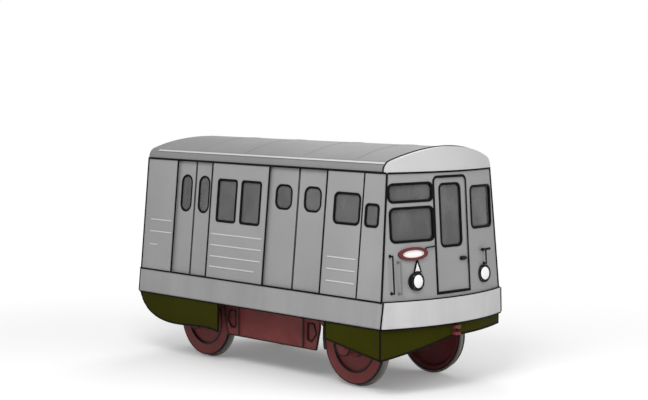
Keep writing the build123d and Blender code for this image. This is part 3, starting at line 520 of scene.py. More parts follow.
def both(pieces):
    """Pieces of the right side, made one, and their twin on the left."""
    piece = joined(pieces)
    return [piece, mirrored(piece)]


def gather(name, pieces, finish, body="car_body"):
    """Join pieces into one named piece that rides on a body."""
    piece = joined(pieces)
    piece.name = piece.data.name = name
    piece.data.materials.clear()
    piece.data.materials.append(finish)
    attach(piece, body)


def placed(pieces, place):
    """Pieces made in a wall's own frame, made one and moved to the car's."""
    return [put(joined(pieces), place)]


def rolled(piece, radius, sides=2):
    """Give a line of points a round section, and make it a mesh."""
    pick(piece)
    line = piece.data
    line.bevel_depth, line.bevel_resolution, line.use_fill_caps = radius, sides, True
    bpy.ops.object.convert(target="MESH")
    return smooth(bpy.context.active_object, 50)


def bead(points, radius, sides=2):
    """A round bead along a line of points."""
    line = bpy.data.curves.new("bead", "CURVE")
    line.dimensions = "3D"
    spline = line.splines.new("POLY")
    spline.points.add(len(points) - 1)
    for point, place in zip(spline.points, points):
        point.co = (*place, 1)
    return rolled(linked(bpy.data.objects.new("bead", line)), radius, sides)


def bar(low, high, bevel=0.003):
    """A rectangular strip with rounded edges between two corners."""
    low, high = Vector(low), Vector(high)
    place = Matrix.Translation((low + high) / 2) @ Matrix.Diagonal((*(high - low), 1))
    return soften(put(primitive("cube", size=1), place), bevel)


def rod(one_end, other_end, radius, sides=16, bevel=0.0):
    """A round bar between two points."""
    a, b = Vector(one_end), Vector(other_end)
    piece = primitive("cylinder", vertices=sides, radius=radius, depth=(b - a).length)
    if bevel:
        soften(piece, bevel)
    else:
        smooth(piece, 40)
    turn = (b - a).to_track_quat("Z", "Y").to_matrix().to_4x4()
    return put(piece, Matrix.Translation((a + b) / 2) @ turn)


def hoop(radius, thick, place, turn, sides=8):
    """A ring of round section, facing the way it is turned."""
    form = {"major_segments": 72, "minor_segments": sides}
    piece = primitive("torus", major_radius=radius, minor_radius=thick, **form)
    bpy.ops.object.shade_smooth()
    return put(piece, Matrix.Translation(place) @ turn)


def screws(places, turn, radius=0.006):
    """Small round-headed screws."""
    screw = soften(primitive("cylinder", vertices=12, radius=radius, depth=0.006), radius * 0.3)
    return many(screw, [Matrix.Translation(place) @ turn for place in places])


# Places on the car

def evenly(low, high, count):
    """Values in equal steps from one to another, both ends among them."""
    return [low + (high - low) * step / count for step in range(count + 1)]


def around(radius, count, first=0.0):
    """Places in equal steps round a circle, as offsets across and up."""
    angles = [first + 2 * pi * step / count for step in range(count)]
    return [(radius * cos(angle), radius * sin(angle)) for angle in angles]


def half_width(z):
    return SILL_HALF - SLOPE * (z - SILL_TOP)


def half_band(z):
    """Half the band's width at a height."""
    return BAND_TOP_HALF + (BAND_LOW_HALF - BAND_TOP_HALF) * (SILL_TOP - z) / (SILL_TOP - BAND_KNEE)


def up_side(z):
    """A height as a distance up the leaning side."""
    return (z - SILL_TOP) / cos(LEAN)


def bow_x(y, proud=0.0):
    """How far the bowed front lies ahead of its middle, which is less than nothing."""
    return sqrt((BOW_R + proud) ** 2 - y ** 2) - BOW_R


def corner_point(v, side):
    """Where the leaning side meets the bowed front, at a height in the front's frame."""
    y = SILL_HALF
    for _ in range(8):
        x = bow_x(y)
        y = half_width(SILL_TOP + x * sin(RAKE) + v * cos(RAKE))
    return FRONT @ Vector((bow_x(y), side * y, v))


def on_raked_bow(y, z, proud):
    """The point of the raked bow, this far out, at a place across and a height in the car's frame."""
    x = bow_x(y, proud)
    return FRONT @ Vector((x, y, (z - SILL_TOP - x * sin(RAKE)) / cos(RAKE)))


def upright_bow_line(half, z, proud):
    """A line along the upright bow below the walls."""
    return [(NOSE_X + bow_x(y, proud), y, z) for y in evenly(-half, half, 40)]


def roof_outline(grow):
    """The roof's section from the right cant rail over the crown to the left one, as Y and Z."""
    shoulder, crown = SHOULDER_R + grow, CROWN_R + grow
    centre_y = CANT_HALF - SHOULDER_R
    crown_z = ROOF_TOP - CROWN_R
    centre_z = crown_z + sqrt((CROWN_R - SHOULDER_R) ** 2 - centre_y ** 2)
    turn = atan2(centre_z - crown_z, centre_y)
    rise = [(-CANT_HALF - grow, CANT_Z)]
    rise += [(-centre_y - shoulder * cos(a), centre_z + shoulder * sin(a)) for a in evenly(0, turn, 8)]
    over = [(crown * cos(a), crown_z + crown * sin(a)) for a in evenly(pi - turn, turn, 24)[1:-1]]
    return rise + over + [(-y, z) for y, z in rise[::-1]]


# The bowed face itself, in the front's frame. A flat piece starts this far ahead of it
bow_face = primitive("cylinder", vertices=1024, radius=BOW_R, depth=8, end_fill_type="NOTHING")
put(bow_face, Matrix.Translation((-BOW_R, 0, 1)))
BOW_AHEAD = 0.05


def follow_bow(piece, low, high, steps):
    """Cut a flat piece across the car, and press it onto the bowed front."""
    for y in evenly(low, high, steps)[1:-1]:
        with editing(piece):
            bpy.ops.mesh.bisect(plane_co=(0, y, 0), plane_no=(0, 1, 0))
    modify(piece, "SHRINKWRAP", target=bow_face, wrap_method="PROJECT", use_project_x=True,
           use_negative_direction=True, use_positive_direction=True)


# Window rubbers, doors and doorways of the sides

RUBBER, RUBBER_LAP, RUBBER_PROUD = 0.035, 0.004, 0.009
LEAF_RUBBER, LEAF_RUBBER_PROUD, LEAF_CLEAR = 0.030, 0.0025, 0.012
END_SEAL, END_SEAL_PROUD, DOOR_RUBBER_PROUD = 0.032, 0.008, 0.006
SKIN_REVEAL, LEAF_REVEAL, WALL_REVEAL, DOOR_REVEAL = 0.0095, 0.0115, 0.0245, 0.0145


def moulding(turn, place, form, border, proud, top_only=False, bowed=False):
    """A flat moulded ring around an opening, standing out from its wall."""
    width, height, radius = form
    size = (width + 2 * border, height + 2 * border, radius + border)
    ring = face_plate(*size, turn, place, top_only)
    hollow(ring, border + RUBBER_LAP)
    if bowed:
        follow_bow(ring, place[1] - width / 2, place[1] + width / 2, 10)
    thicken(ring, proud)
    return soften(ring, min(proud, border) * 0.4)


def lining(turn, place, form, depth, bowed):
    """The part of a window's rubber that lines its opening, from the wall's face back to the glass."""
    ring = face_plate(*form, turn, place)
    hollow(ring, RUBBER_LAP)
    if bowed:
        follow_bow(ring, place[1] - form[0] / 2, place[1] + form[0] / 2, 10)
    inwards = turn.to_3x3() @ Vector((0, 0, -depth))
    with editing(ring):
        bpy.ops.mesh.extrude_region_move(TRANSFORM_OT_translate={"value": inwards})
    face_outwards(ring)
    return ring


def window_rubber(turn, place, form, depth, border=RUBBER, proud=RUBBER_PROUD, bowed=False):
    return [moulding(turn, place, form, border, proud, bowed=bowed), lining(turn, place, form, depth, bowed)]


def side_window_rubbers():
    rings = []
    for x, z, *form in SIDE_WINDOWS:
        rings += window_rubber(TO_RIGHT, (x, 0, up_side(z)), form, SKIN_REVEAL)
    gather("side_window_rubbers", both(placed(rings, SIDE)), black_rubber)


def leaf_rubbers(door, end):
    """The rubber around a leaf's window, and the one along its meeting edge."""
    x0, x1 = DOORWAYS[door]
    z, *form = LEAF_WINDOWS[door]
    side, share = (-1, 0.25) if end == "rear" else (1, 0.75)
    place = (x0 + (x1 - x0) * share, LEAF_DEPTH, up_side(z))
    rubber = window_rubber(TO_RIGHT, place, form, LEAF_REVEAL, LEAF_RUBBER, LEAF_RUBBER_PROUD)
    low, high = sorted((x0 + x1) / 2 + side * reach for reach in (0.004, 0.019))
    outer, top = LEAF_DEPTH - LEAF_RUBBER_PROUD, up_side(CANT_Z) - LEAF_CLEAR
    nose = bar((low, outer, LEAF_CLEAR), (high, LEAF_DEPTH, top), 0.001)
    for hand, piece in zip(("right", "left"), both(placed([*rubber, nose], SIDE))):
        gather(f"{hand}_{door}_{end}_leaf_rubbers", [piece], black_rubber, f"{hand}_{door}_door_{end}_leaf")


def doorway_seals():
    """Black strips down both jambs of each side doorway, and the line of the panel joint before the cab."""
    top = up_side(CANT_Z)
    seals = [bar((CAB_JOINT_X - 0.013, -0.005, 0), (CAB_JOINT_X + 0.013, 0.002, top), 0.002)]
    for ends in DOORWAYS.values():
        seals += [bar((x - 0.018, -0.007, 0), (x + 0.013, 0.008, top)) for x in ends]
    gather("doorway_seals", both(placed(seals, SIDE)), black_rubber)


def doorway_treads():
    """A ribbed steel plate on the sill of each side doorway."""
    y, back = 0.001 - SILL_HALF, LEAF_DEPTH - SILL_HALF - 0.008
    treads = []
    for x0, x1 in DOORWAYS.values():
        treads.append(bar((x0 + 0.015, y, SILL_TOP), (x1 - 0.015, back, SILL_TOP + 0.004), 0.001))
        for rib in evenly(y + 0.006, y + 0.022, 2):
            corner = (x1 - 0.03, rib + 0.003, SILL_TOP + 0.007)
            treads.append(bar((x0 + 0.03, rib, SILL_TOP + 0.003), corner, 0.001))
    gather("doorway_treads", both(treads), bare_steel)


side_window_rubbers()
for door in DOORWAYS:
    for end in ("rear", "front"):
        leaf_rubbers(door, end)
doorway_seals()
doorway_treads()


# Windows, doors and fittings of the ends

def end_window_rubbers(end, windows, ahead, wall):
    rings = []
    for y, v, *form in windows:
        rings += window_rubber(FORWARDS, (ahead, y, v), form, WALL_REVEAL, bowed=end == "front")
    gather(f"{end}_window_rubbers", placed(rings, wall), black_rubber)


def end_doorway_seals():
    """The rubber round each end doorway, with round corners at its top."""
    form = (2 * DOORWAY_HALF, DOORWAY_TOP - DOORWAY_SILL, DOORWAY_CORNER)
    middle = (DOORWAY_TOP + DOORWAY_SILL) / 2
    seal = (form, END_SEAL, END_SEAL_PROUD)
    front = moulding(FORWARDS, (BOW_AHEAD, 0, middle), *seal, top_only=True, bowed=True)
    rear = moulding(FORWARDS, (0, 0, middle), *seal, top_only=True)
    gather("end_doorway_seals", [put(front, FRONT), put(rear, REAR)], black_rubber)


def end_door_rubber(end, wall):
    y, v, *form = DOOR_WINDOW
    rubber = window_rubber(FORWARDS, (-DOOR_BACK, y, v), form, DOOR_REVEAL, proud=DOOR_RUBBER_PROUD)
    gather(f"{end}_end_door_rubber", placed(rubber, wall), black_rubber, f"{end}_end_door")


def end_door_handle(end, wall):
    """A black lever and its lock in one oval dish."""
    face = HANDLE_PROUD - DOOR_BACK
    y, v = HANDLE_Y, HANDLE_V
    dish = face_plate(0.150, 0.064, 0.0315, FORWARDS, (face - 0.001, y - 0.030, v), segments=12)
    thicken(dish, 0.008)
    soften(dish, 0.003)
    neck = rod((face, y + 0.020, v), (face + 0.030, y + 0.020, v), 0.013, 24)
    lever = bar((face + 0.018, y - 0.095, v - 0.018), (face + 0.036, y + 0.036, v + 0.018), 0.007)
    with editing(lever, "VERT", lambda point: point.co.y < y - 0.05):
        bpy.ops.transform.resize(value=(0.8, 1, 0.66), center_override=(face + 0.027, y - 0.095, v))
    gather(f"{end}_end_door_handle", placed([dish, neck, lever], wall), black_paint, f"{end}_end_door")


def headlamps():
    """A domed, ribbed glass on each rim, the black seal that holds it, and the rim's clamping screws."""
    domes, seals, bolts = [], [], []
    for y in (-LAMP_Y, LAMP_Y):
        face = bow_x(y) + LAMP_PROUD
        dome = primitive("uv_sphere", segments=48, ring_count=24, radius=DOME_R)
        with editing(dome):
            bpy.ops.mesh.bisect(plane_co=(0, 0, 0), plane_no=(0, 0, 1), use_fill=True, clear_inner=True)
        smooth(dome, 40)
        flatter = Matrix.Diagonal((1, 1, 0.24, 1))
        domes.append(put(dome, Matrix.Translation((face, y, LAMP_V)) @ TO_FRONT @ flatter))
        seals.append(hoop(DOME_R, 0.0065, (face + 0.002, y, LAMP_V), TO_FRONT))
        for across, up in around((DOME_R + LAMP_R) / 2 + 0.003, 4, pi / 4):
            bolts.append((face, y + across, LAMP_V + up))
    gather("headlamp_domes", placed(domes, FRONT), lamp_glass)
    gather("headlamp_seals", placed(seals, FRONT), black_rubber)
    gather("headlamp_screws", placed(screws(bolts, TO_FRONT), FRONT), bare_steel)


def lamp_bracket():
    """The small white three-cornered cover between the plate ring and the right lamp, edged in black."""
    corners = [(-0.735, 0.610), (-0.675, 0.428), (-0.795, 0.428)]
    cover = primitive("circle", vertices=3, radius=0.06, fill_type="NGON")
    middle = Matrix.Translation((BOW_AHEAD, -0.735, 0.489))
    put(cover, middle @ FORWARDS @ Matrix.Diagonal((1.15, 2.03, 1, 1)))
    follow_bow(cover, -0.79, -0.68, 4)
    thicken(cover, 0.012)
    soften(cover, 0.003)
    gather("lamp_bracket", placed([cover], FRONT), plate_paint)
    edge = []
    for corner, following in zip(corners, corners[1:] + corners[:1]):
        steps = [evenly(a, b, 4)[:-1] for a, b in zip(corner, following)]
        edge += [(bow_x(y) + 0.012, y, v) for y, v in zip(*steps)]
    gather("lamp_bracket_edge", placed([bead(edge + edge[:1], 0.0125)], FRONT), black_rubber)


def plate_fixings():
    """Two screws on the blank plate, and the black hand rod from its ring to the doorway."""
    bolts = [(bow_x(y) + PLATE_PROUD, y, RING_V) for y in (RING_Y - 0.155, RING_Y + 0.155)]
    gather("plate_screws", placed(screws(bolts, TO_FRONT, 0.007), FRONT), bare_steel)
    line = [(-0.600, 0.745), (-0.580, 0.772), (-0.480, 0.782), (-0.385, 0.786)]
    pieces = [bead([(bow_x(y) + 0.030, y, v) for y, v in line], 0.012)]
    for y, v in (line[0], line[-1]):
        pieces.append(rod((bow_x(y) - 0.004, y, v), (bow_x(y) + 0.032, y, v), 0.013))
    gather("plate_hand_rod", placed(pieces, FRONT), black_paint)


def rail_feet():
    """A round flange under each foot of the grab rails at both ends."""
    rails = [(FRONT, bow_x(y), 0.004, y, low, high) for y, low, high in FRONT_RAILS]
    rails += [(REAR, 0, 0.001, *rail) for rail in REAR_RAILS]
    feet = []
    for wall, base, sunk, y, low, high in rails:
        for v in (low + RAIL_R, high - RAIL_R):
            feet.append(put(rod((base - sunk, y, v), (base + 0.006, y, v), 0.026, 24, 0.002), wall))
    gather("rail_feet", feet, rail_metal)


def tee_grips():
    """The thicker grips on both arms of the T handle above the left lamp."""
    y, _, v = FRONT_RAILS[-1]
    x = bow_x(y) + RAIL_STAND
    grips = []
    for side in (-1, 1):
        grips.append(rod((x, y + side * 0.014, v), (x, y + side * 0.084, v), 0.0185, 24, 0.004))
        grips.append(rod((x, y + side * 0.080, v), (x, y + side * 0.090, v), 0.023, 24, 0.003))
    gather("tee_handle_grips", placed(grips, FRONT), rail_metal)


def tail_lamp_rims():
    rims = [hoop(TAIL_R + 0.006, 0.016, (0.006, y, TAIL_V), TO_FRONT, 10) for y in (-TAIL_Y, TAIL_Y)]
    gather("tail_lamp_rims", placed(rims, REAR), black_rubber)


end_window_rubbers("front", FRONT_WINDOWS, BOW_AHEAD, FRONT)
end_window_rubbers("rear", REAR_WINDOWS, 0, REAR)
end_doorway_seals()
for end, wall in (("front", FRONT), ("rear", REAR)):
    end_door_rubber(end, wall)
    end_door_handle(end, wall)
headlamps()
lamp_bracket()
plate_fixings()
rail_feet()
tee_grips()
tail_lamp_rims()


# Beads along the body's edges

BROAD_BEAD, BEAD, NARROW_BEAD = 0.017, 0.014, 0.010
BAND_LOW_LINE = BAND_BOTTOM + 0.003
APRON_CORNER_X = NOSE_X - BODY_BOW - 0.010


def corner_beads():
    beads = []
    for side in (-1, 1):
        beads.append(bead([corner_point(v, side) for v in (0.0, 0.6, 1.2, 1.885)], BROAD_BEAD))
        beads.append(bead([(REAR_X, side * half_width(z), z) for z in (SILL_TOP, CANT_Z)], BEAD))
        corner = []
        for z in (SILL_TOP, BAND_KNEE):
            y = half_band(z)
            corner.append((NOSE_X + bow_x(y, BUMPER_PROUD), side * y, z))
        corner.append((corner[-1][0], side * (BAND_LOW_HALF - BAND_CHAMFER), BAND_BOTTOM))
        beads.append(bead(corner, BEAD))
        rear = [(REAR_X - REAR_BUMPER_PROUD + 0.004, y, z) for _, y, z in corner]
        beads.append(bead(rear, NARROW_BEAD))
    gather("corner_beads", beads, black_rubber)


def panel_rivets():
    """Small rivets along the waist and the cant of the side panels and of both ends."""
    waist, cant, size = 0.045, up_side(CANT_Z) - 0.050, 0.0055
    sides, ends = [], []
    for low, high in PANELS:
        for x in evenly(low, high, round((high - low) / 0.09)):
            sides += [(x, 0, waist), (x, 0, cant)]
    heads = both(placed(screws(sides, TO_RIGHT, size), SIDE))
    for reach in evenly(0.44, 1.16, 9):
        for y in (-reach, reach):
            ends.append((y, waist))
            if reach < CANT_HALF - 0.02:
                ends.append((y, cant))
    places = [REAR @ Matrix.Translation((0, y, v)) for y, v in ends]
    for y, v in ends:
        turned = Matrix.Rotation(asin(y / BOW_R), 4, "Z")
        places.append(FRONT @ Matrix.Translation((bow_x(y), y, v)) @ turned)
    heads += many(screws([(0, 0, 0)], TO_FRONT, size)[0], places)
    gather("panel_rivets", heads, body_paint)


def skirt_corner_beads():
    """The joint of the side skirts with the front apron, deeper at the right corner."""
    beads = []
    for side, low in ((-1, NEAR_CORNER_Z), (1, FAR_CORNER_Z)):
        y = side * (SKIRT_OUTER + 0.002)
        beads.append(bead([(APRON_CORNER_X, y, BAND_BOTTOM), (APRON_CORNER_X, y, low + 0.012)], BEAD))
    gather("skirt_corner_beads", beads, black_rubber)


def rear_skirt_lips():
    """A rolled lip along the outline of each rear skirt below the band."""
    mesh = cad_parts["rear_skirts"].data.copy()
    lips = linked(bpy.data.objects.new("rear_skirt_lips", mesh))
    with editing(lips):
        bpy.ops.mesh.remove_doubles(threshold=0.0003)
        bpy.ops.mesh.dissolve_limited(angle_limit=radians(1))
    with editing(lips, "FACE", lambda face: abs(abs(face.center.y) - SKIRT_OUTER) > 0.002):
        bpy.ops.mesh.delete(type="FACE")
        bpy.ops.mesh.select_all(action="SELECT")
        bpy.ops.mesh.delete(type="ONLY_FACE")
    points = mesh.vertices
    top = BAND_BOTTOM - 0.005
    with editing(lips, "EDGE", lambda edge: min(points[i].co.z for i in edge.vertices) > top):
        bpy.ops.mesh.delete(type="EDGE")
    pick(lips)
    bpy.ops.object.convert(target="CURVE")
    gather("rear_skirt_lips", [rolled(bpy.context.active_object, BEAD)], black_rubber)


def front_skirt_lips():
    """The same lip under the front skirts and the bowed apron, with a gap for the coupler."""
    lips = []
    for side, low in ((-1, NEAR_CORNER_Z), (1, FAR_CORNER_Z)):
        y = side * SKIRT_OUTER
        skirt = [(FRONT_SKIRT_X, BAND_BOTTOM), (FRONT_SKIRT_X, FRONT_SKIRT_Z), (APRON_CORNER_X, low)]
        lips.append(bead([(x, y, z) for x, z in skirt], BEAD))
        apron = zip(evenly(y, side * APRON_SLOT, 24), evenly(low, APRON_Z, 24))
        lips.append(bead([(NOSE_X + bow_x(y), y, z) for y, z in apron], BEAD))
    gather("front_skirt_lips", lips, black_rubber)


def roof_beads():
    """The gutter along the cant rails and across both ends, and the joint behind the front fascia."""
    front_x = corner_point(up_side(CANT_Z), -1).x
    beads = both([bead([(x, -CANT_HALF - 0.002, CANT_Z) for x in (REAR_X, front_x)], BROAD_BEAD)])
    beads.append(bead([on_raked_bow(y, CANT_Z, 0.006) for y in evenly(-CANT_HALF, CANT_HALF, 40)], 0.016))
    beads.append(bead([on_raked_bow(y, z, -END_WALL) for y, z in roof_outline(0.010)], BEAD))
    beads.append(bead([(REAR_X, y, CANT_Z) for y in (-CANT_HALF, CANT_HALF)], NARROW_BEAD))
    gather("roof_beads", beads, black_rubber)


def roof_seams():
    """Flat welded straps across the roof."""
    straps = [bead([(x, y, z) for y, z in roof_outline(-0.001)], 0.006) for x in ROOF_SEAMS]
    gather("roof_seams", straps, roof_paint_with_painted_shade)


def band_beads():
    """Black beads above and below the band all round."""
    low = BAND_LOW_HALF - BAND_CHAMFER
    rear, front = REAR_X - REAR_BUMPER_PROUD, NOSE_X - BODY_BOW
    beads = both([
        bead([(x, -BAND_TOP_HALF, SILL_TOP) for x in (rear, front)], BEAD),
        bead([(x, -low, BAND_LOW_LINE) for x in (rear, front + 0.03)], BEAD),
    ])
    beads.append(bead(upright_bow_line(SILL_HALF, SILL_TOP, 0.022), BROAD_BEAD))
    beads.append(bead(upright_bow_line(low, BAND_LOW_LINE, BUMPER_PROUD - 0.003), 0.013))
    for half, z in ((SILL_HALF, SILL_TOP), (low, BAND_LOW_LINE)):
        beads.append(bead([(rear + 0.003, y, z) for y in (-half, half)], NARROW_BEAD))
    gather("band_beads", beads, black_rubber)


corner_beads()
panel_rivets()
skirt_corner_beads()
rear_skirt_lips()
front_skirt_lips()
roof_beads()
roof_seams()
band_beads()


# Running gear and underfloor

def side_frame_edges():
    """Rolled edges round the frame's pockets and on its ribs, and rivets along the plate."""
    face, crest = -FRAME_OUTER - 0.002, -FRAME_OUTER - 0.012
    rims = [bead([(x, face, z) for x, z in FRAME_LOWER], 0.012)]
    rivets = [(x, face, z) for x in evenly(-0.6, 0.6, 8) for z in (0.515, 0.975)]
    for side in (-1, 1):
        pocket = [(side * x, face, z) for x, z in FRAME_POCKET]
        rims.append(bead(pocket + pocket[:1], 0.015))
        rib_x = side * FRAME_RIB_X
        rims.append(bead([(rib_x, crest, FRAME_LOW + 0.01), (rib_x, crest, BAND_BOTTOM)], BEAD))
        rivets += [(rib_x + x, face, z) for x in (-0.06, 0.06) for z in evenly(0.56, 0.96, 4)]
    gather("side_frame_edges", both(rims), black_paint)
    gather("side_frame_rivets", both(screws(rivets, TO_RIGHT, 0.012)), truck_iron)


def case_fittings():
    """The lid strips and latches on both sides of the equipment case, and stiffening ribs below it."""
    x, y, low = CASE_HALF_X, CASE_HALF_Y, CASE_LOW
    lid = [bar((0.02 - x, -y - 0.006, low + 0.320), (x - 0.02, 0.004 - y, low + 0.335), 0.002)]
    for latch in evenly(-0.45, 0.45, 3):
        corner = (latch + 0.020, 0.002 - y, low + 0.345)
        lid.append(bar((latch - 0.020, -y - 0.016, low + 0.250), corner, 0.005))
    ribs = [bar((rib - 0.025, 0.03 - y, low - 0.010), (rib + 0.025, y - 0.03, low + 0.002))
            for rib in (-0.40, 0, 0.40)]
    gather("case_fittings", both(lid) + ribs, dark_under)


def tank_straps():
    """Two steel straps round each air tank, and a drain cock below it."""
    pieces = [hoop(TANK_R + 0.002, 0.008, (x, -TANK_Y, TANK_Z), TO_FRONT) for x in (-0.33, 0.33)]
    top, bottom = TANK_Z - TANK_R + 0.004, TANK_Z - TANK_R - 0.030
    pieces.append(rod((0.45, -TANK_Y, top), (0.45, -TANK_Y, bottom), 0.012, 16, 0.003))
    gather("tank_straps", both(pieces), truck_iron)


def motor_ribs():
    """Cooling ribs round the motors."""
    places = [(x, y, MOTOR_Z) for x in (-MOTOR_X, MOTOR_X) for y in (-0.36, -0.24, -0.12, 0.12, 0.24, 0.36)]
    gather("motor_ribs", [hoop(MOTOR_R + 0.002, 0.009, place, TO_RIGHT, 6) for place in places], dark_under)


def axle_box_bolts():
    """Six cap screws round each axle-box cover, a raised centre and a collar."""
    places, centres = [], []
    for x in (-AXLE_X, AXLE_X):
        places += [(x + across, -BOX_FACE, AXLE_Z + up) for across, up in around(0.122, 6, pi / 6)]
        centres.append(rod((x, 0.002 - BOX_FACE, AXLE_Z), (x, -BOX_FACE - 0.012, AXLE_Z), 0.070, 40, 0.004))
    gather("axle_box_bolts", both(screws(places, TO_RIGHT, 0.013) + centres), truck_iron)
    collars = [hoop(BOX_COVER_R, 0.012, (x, 0.004 - BOX_FACE, AXLE_Z), TO_RIGHT) for x in (-AXLE_X, AXLE_X)]
    gather("axle_box_collars", both(collars), black_paint)


def wheel_rings(end, x):
    """A black ring inside each rim and one round the hub, painted shade that stands for the dark of a
    groove, and eight bolts on the web.
    """
    groove_shade_rings = []
    for radius, depth in ((RIM_INNER_R, 0.008), (HUB_R, 0.024)):
        groove_shade_rings.append(hoop(radius + 0.002, 0.018, (x, depth - WHEEL_FACE, AXLE_Z), TO_RIGHT))
    gather(f"{end}_wheel_groove_shade_rings", both(groove_shade_rings), black_paint, f"{end}_wheelset")
    places = [(x + across, -WHEEL_WEB, AXLE_Z + up) for across, up in around(0.295, 8)]
    gather(f"{end}_wheel_bolts", both(screws(places, TO_RIGHT, 0.016)), wheel_iron, f"{end}_wheelset")


def skirt_rivets():
    """A row of rivets under the band where the skirts hang."""
    places = []
    for low, high in ((-2.85, -1.05), (1.62, 2.62)):
        places += [(x, -SKIRT_OUTER, 0.975) for x in evenly(low, high, int((high - low) / 0.12))]
    gather("skirt_rivets", both(screws(places, TO_RIGHT, 0.009)), skirt_paint_as_shade)


def underfloor_pipes():
    """A brake pipe and a conduit along each side of the middle, with clips on the cross beams."""
    pieces = []
    for y, radius in ((0.36, 0.021), (0.43, 0.014)):
        pieces.append(bead([(x, y, PIPE_Z) for x in (-PIPE_X, PIPE_X)], radius, 3))
        for x in (-PIPE_X, -0.95, 0.0, 0.95, PIPE_X):
            low = (x - 0.015, y - radius - 0.006, PIPE_Z - radius - 0.005)
            pieces.append(bar(low, (x + 0.015, y + radius + 0.006, PIPE_Z + 0.034)))
    gather("underfloor_pipes", both(pieces), dark_under)


side_frame_edges()
case_fittings()
tank_straps()
motor_ribs()
axle_box_bolts()
for end, x in (("rear", -AXLE_X), ("front", AXLE_X)):
    wheel_rings(end, x)
skirt_rivets()
underfloor_pipes()


# Inside

def ceiling_lamps():
    lamps = [bar((x - 0.5, -0.57, 3.520), (x + 0.5, -0.43, 3.575), 0.015) for x in evenly(-2.35, 1.25, 3)]
    gather("ceiling_lamps", both(lamps), lamp_glass)


def saloon_rails():
    """A hand rail below the ceiling between the end poles, with straps up to the ceiling."""
    y, z = HAND_RAIL_Y, HAND_RAIL_Z
    rails = [rod((-2.19, y, z), (1.41, y, z), 0.016)]
    rails += [rod((x, y, z), (x, y, CEILING_Z), 0.010) for x in (-1.75, -0.80, -0.20, 0.60, 1.00)]
    gather("saloon_rails", both(rails), bare_steel)


def bench_ribs():
    """Raised ribs that part the seats."""
    ribs = []
    for low, high in BENCHES:
        for x in evenly(low + 0.015, high - 0.015, max(1, round((high - low) / 0.45))):
            corner = (x + 0.009, -0.755, BENCH_TOP + 0.012)
            ribs.append(bar((x - 0.009, -1.16, BENCH_TOP - 0.002), corner, 0.004))
    gather("bench_ribs", both(ribs), bench_shell)


def cab_controls():
    """A controller lever and a brake handle on round bases, and a row of buttons on the desk."""
    x, top = DESK_X, DESK_TOP
    pieces = []
    for y, lean in ((-0.62, 0.05), (-1.02, -0.04)):
        pieces.append(rod((x, y, top - 0.002), (x, y, top + 0.030), 0.045, 32, 0.006))
        pieces.append(rod((x, y, top + 0.02), (x - 0.04, y + lean, top + 0.115), 0.009))
        knob = primitive("uv_sphere", segments=20, ring_count=12, radius=0.022)
        bpy.ops.object.shade_smooth()
        pieces.append(put(knob, Matrix.Translation((x - 0.04, y + lean, top + 0.125))))
    for y in evenly(-0.72, -0.90, 4):
        pieces.append(rod((x - 0.02, y, top - 0.001), (x - 0.02, y, top + 0.012), 0.012, 16, 0.003))
    gather("cab_controls", pieces, black_paint)


def cab_stool():
    """A round seat on a post with a round foot."""
    x, y, seat, foot = STOOL_X, STOOL_Y, STOOL_SEAT, SILL_TOP
    pieces = [rod((x, y, seat), (x, y, seat + 0.06), 0.125, 40, 0.018)]
    pieces.append(rod((x, y, foot), (x, y, seat + 0.005), 0.028, 24, 0.003))
    pieces.append(rod((x, y, foot), (x, y, foot + 0.015), 0.11, 40, 0.005))
    gather("cab_stool", pieces, bench_shell)


ceiling_lamps()
saloon_rails()
bench_ribs()
cab_controls()
cab_stool()


# Camera and lamps

CAR_MIDDLE, LAMP_REACH, LAMP_SIZE = Vector((0, 0, 1.8)), 15, 7


def outward(azimuth, elevation):
    """The direction from the car to a place seen at these angles, in degrees."""
    a, e = radians(azimuth), radians(elevation)
    return Vector((sin(a) * cos(e), -cos(a) * cos(e), sin(e)))


def lamp(name, azimuth, elevation, power):
    """A soft square lamp that looks at the middle of the car."""
    out = outward(azimuth, elevation)
    light = bpy.data.lights.new(name, "AREA")
    light.size, light.energy = LAMP_SIZE, power
    turn = out.to_track_quat("Z", "Y").to_matrix().to_4x4()
    piece = linked(bpy.data.objects.new(name, light))
    piece.matrix_world = Matrix.Translation(CAR_MIDDLE + out * LAMP_REACH) @ turn


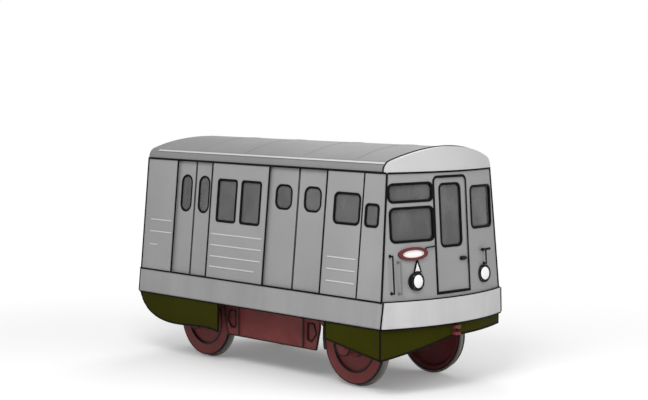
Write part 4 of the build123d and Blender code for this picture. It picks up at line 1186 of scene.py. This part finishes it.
AZIMUTH, ELEVATION, ROLL = 45.726, 4.375, radians(0.385)
TARGET, DISTANCE = Vector((0.125, 0, 2.705)), 25.22
PHOTO_WIDTH, FOCAL_PIXELS, SENSOR = 648, 1551.8, 36
back = outward(AZIMUTH, ELEVATION)
right = Vector((cos(radians(AZIMUTH)), sin(radians(AZIMUTH)), 0))
up = back.cross(right)
right, up = right * cos(ROLL) + up * sin(ROLL), up * cos(ROLL) - right * sin(ROLL)
camera = linked(bpy.data.objects.new("camera", bpy.data.cameras.new("camera")))
camera.data.sensor_width, camera.data.lens = SENSOR, FOCAL_PIXELS * SENSOR / PHOTO_WIDTH
camera.data.clip_start, camera.data.clip_end = 0.5, 200
turn = Matrix((right, up, back)).transposed().to_4x4()
camera.matrix_world = Matrix.Translation(TARGET + back * DISTANCE) @ turn
bpy.context.scene.camera = camera
lamp("key", 32, 42, 1150)
lamp("fill", 100, 30, 350)
lamp("back", 220, 40, 500)


# Floor and background

def any_ray(tree, *kinds):
    """One where a ray of any of these kinds arrives."""
    rays = node(tree, "LightPath").outputs
    share = rays[kinds[0]]
    for kind in kinds[1:]:
        share = maths("MAXIMUM", share, rays[kind])
    return share


def shader_of(tree, kind, **inputs):
    return node(tree, kind, inputs).outputs[0]


def mixed(share, one, two):
    return node(share.id_data, "MixShader", {0: share, 1: one, 2: two}).outputs[0]


def bare_tree(owner):
    owner.use_nodes = True
    owner.node_tree.nodes.clear()
    return owner.node_tree


WHITE, FLOOR_COLOUR = (1, 1, 1, 1), (0.90, 0.90, 0.90, 1)
FLOOR_LIFT, FADE_FROM, FADE_TO, SKY_STRENGTH = 0.18, 5.0, 10.0, 0.50

floor = primitive("circle", vertices=96, radius=60, fill_type="NGON")
floor.name = "studio_floor"
ground = bpy.data.materials.new("studio_floor")
tree = bare_tree(ground)
seen = any_ray(tree, "Is Camera Ray", "Is Transmission Ray")
matt = shader_of(tree, "BsdfDiffuse", Color=FLOOR_COLOUR)
lift = shader_of(tree, "Emission", Strength=FLOOR_LIFT)
lifted = node(tree, "AddShader", {0: matt, 1: lift}).outputs[0]
reach = distance_from(node(tree, "TexCoord").outputs["Object"], (0, 0, 0))
far = times(spread(reach, FADE_FROM, FADE_TO, interpolation_type="SMOOTHSTEP"), seen)
surface = mixed(far, mixed(seen, matt, lifted), shader_of(tree, "Emission"))
node(tree, "OutputMaterial", {0: surface})
floor.data.materials.append(ground)

world = bpy.data.worlds.new("studio")
bpy.context.scene.world = world
tree = bare_tree(world)
seen = any_ray(tree, "Is Camera Ray", "Is Transmission Ray", "Is Glossy Ray")
sky = shader_of(tree, "Background", Color=WHITE, Strength=SKY_STRENGTH)
node(tree, "OutputWorld", {0: mixed(seen, sky, shader_of(tree, "Background", Color=WHITE))})

bpy.context.scene.view_settings.view_transform = "Standard"
bpy.data.objects.remove(bow_face)
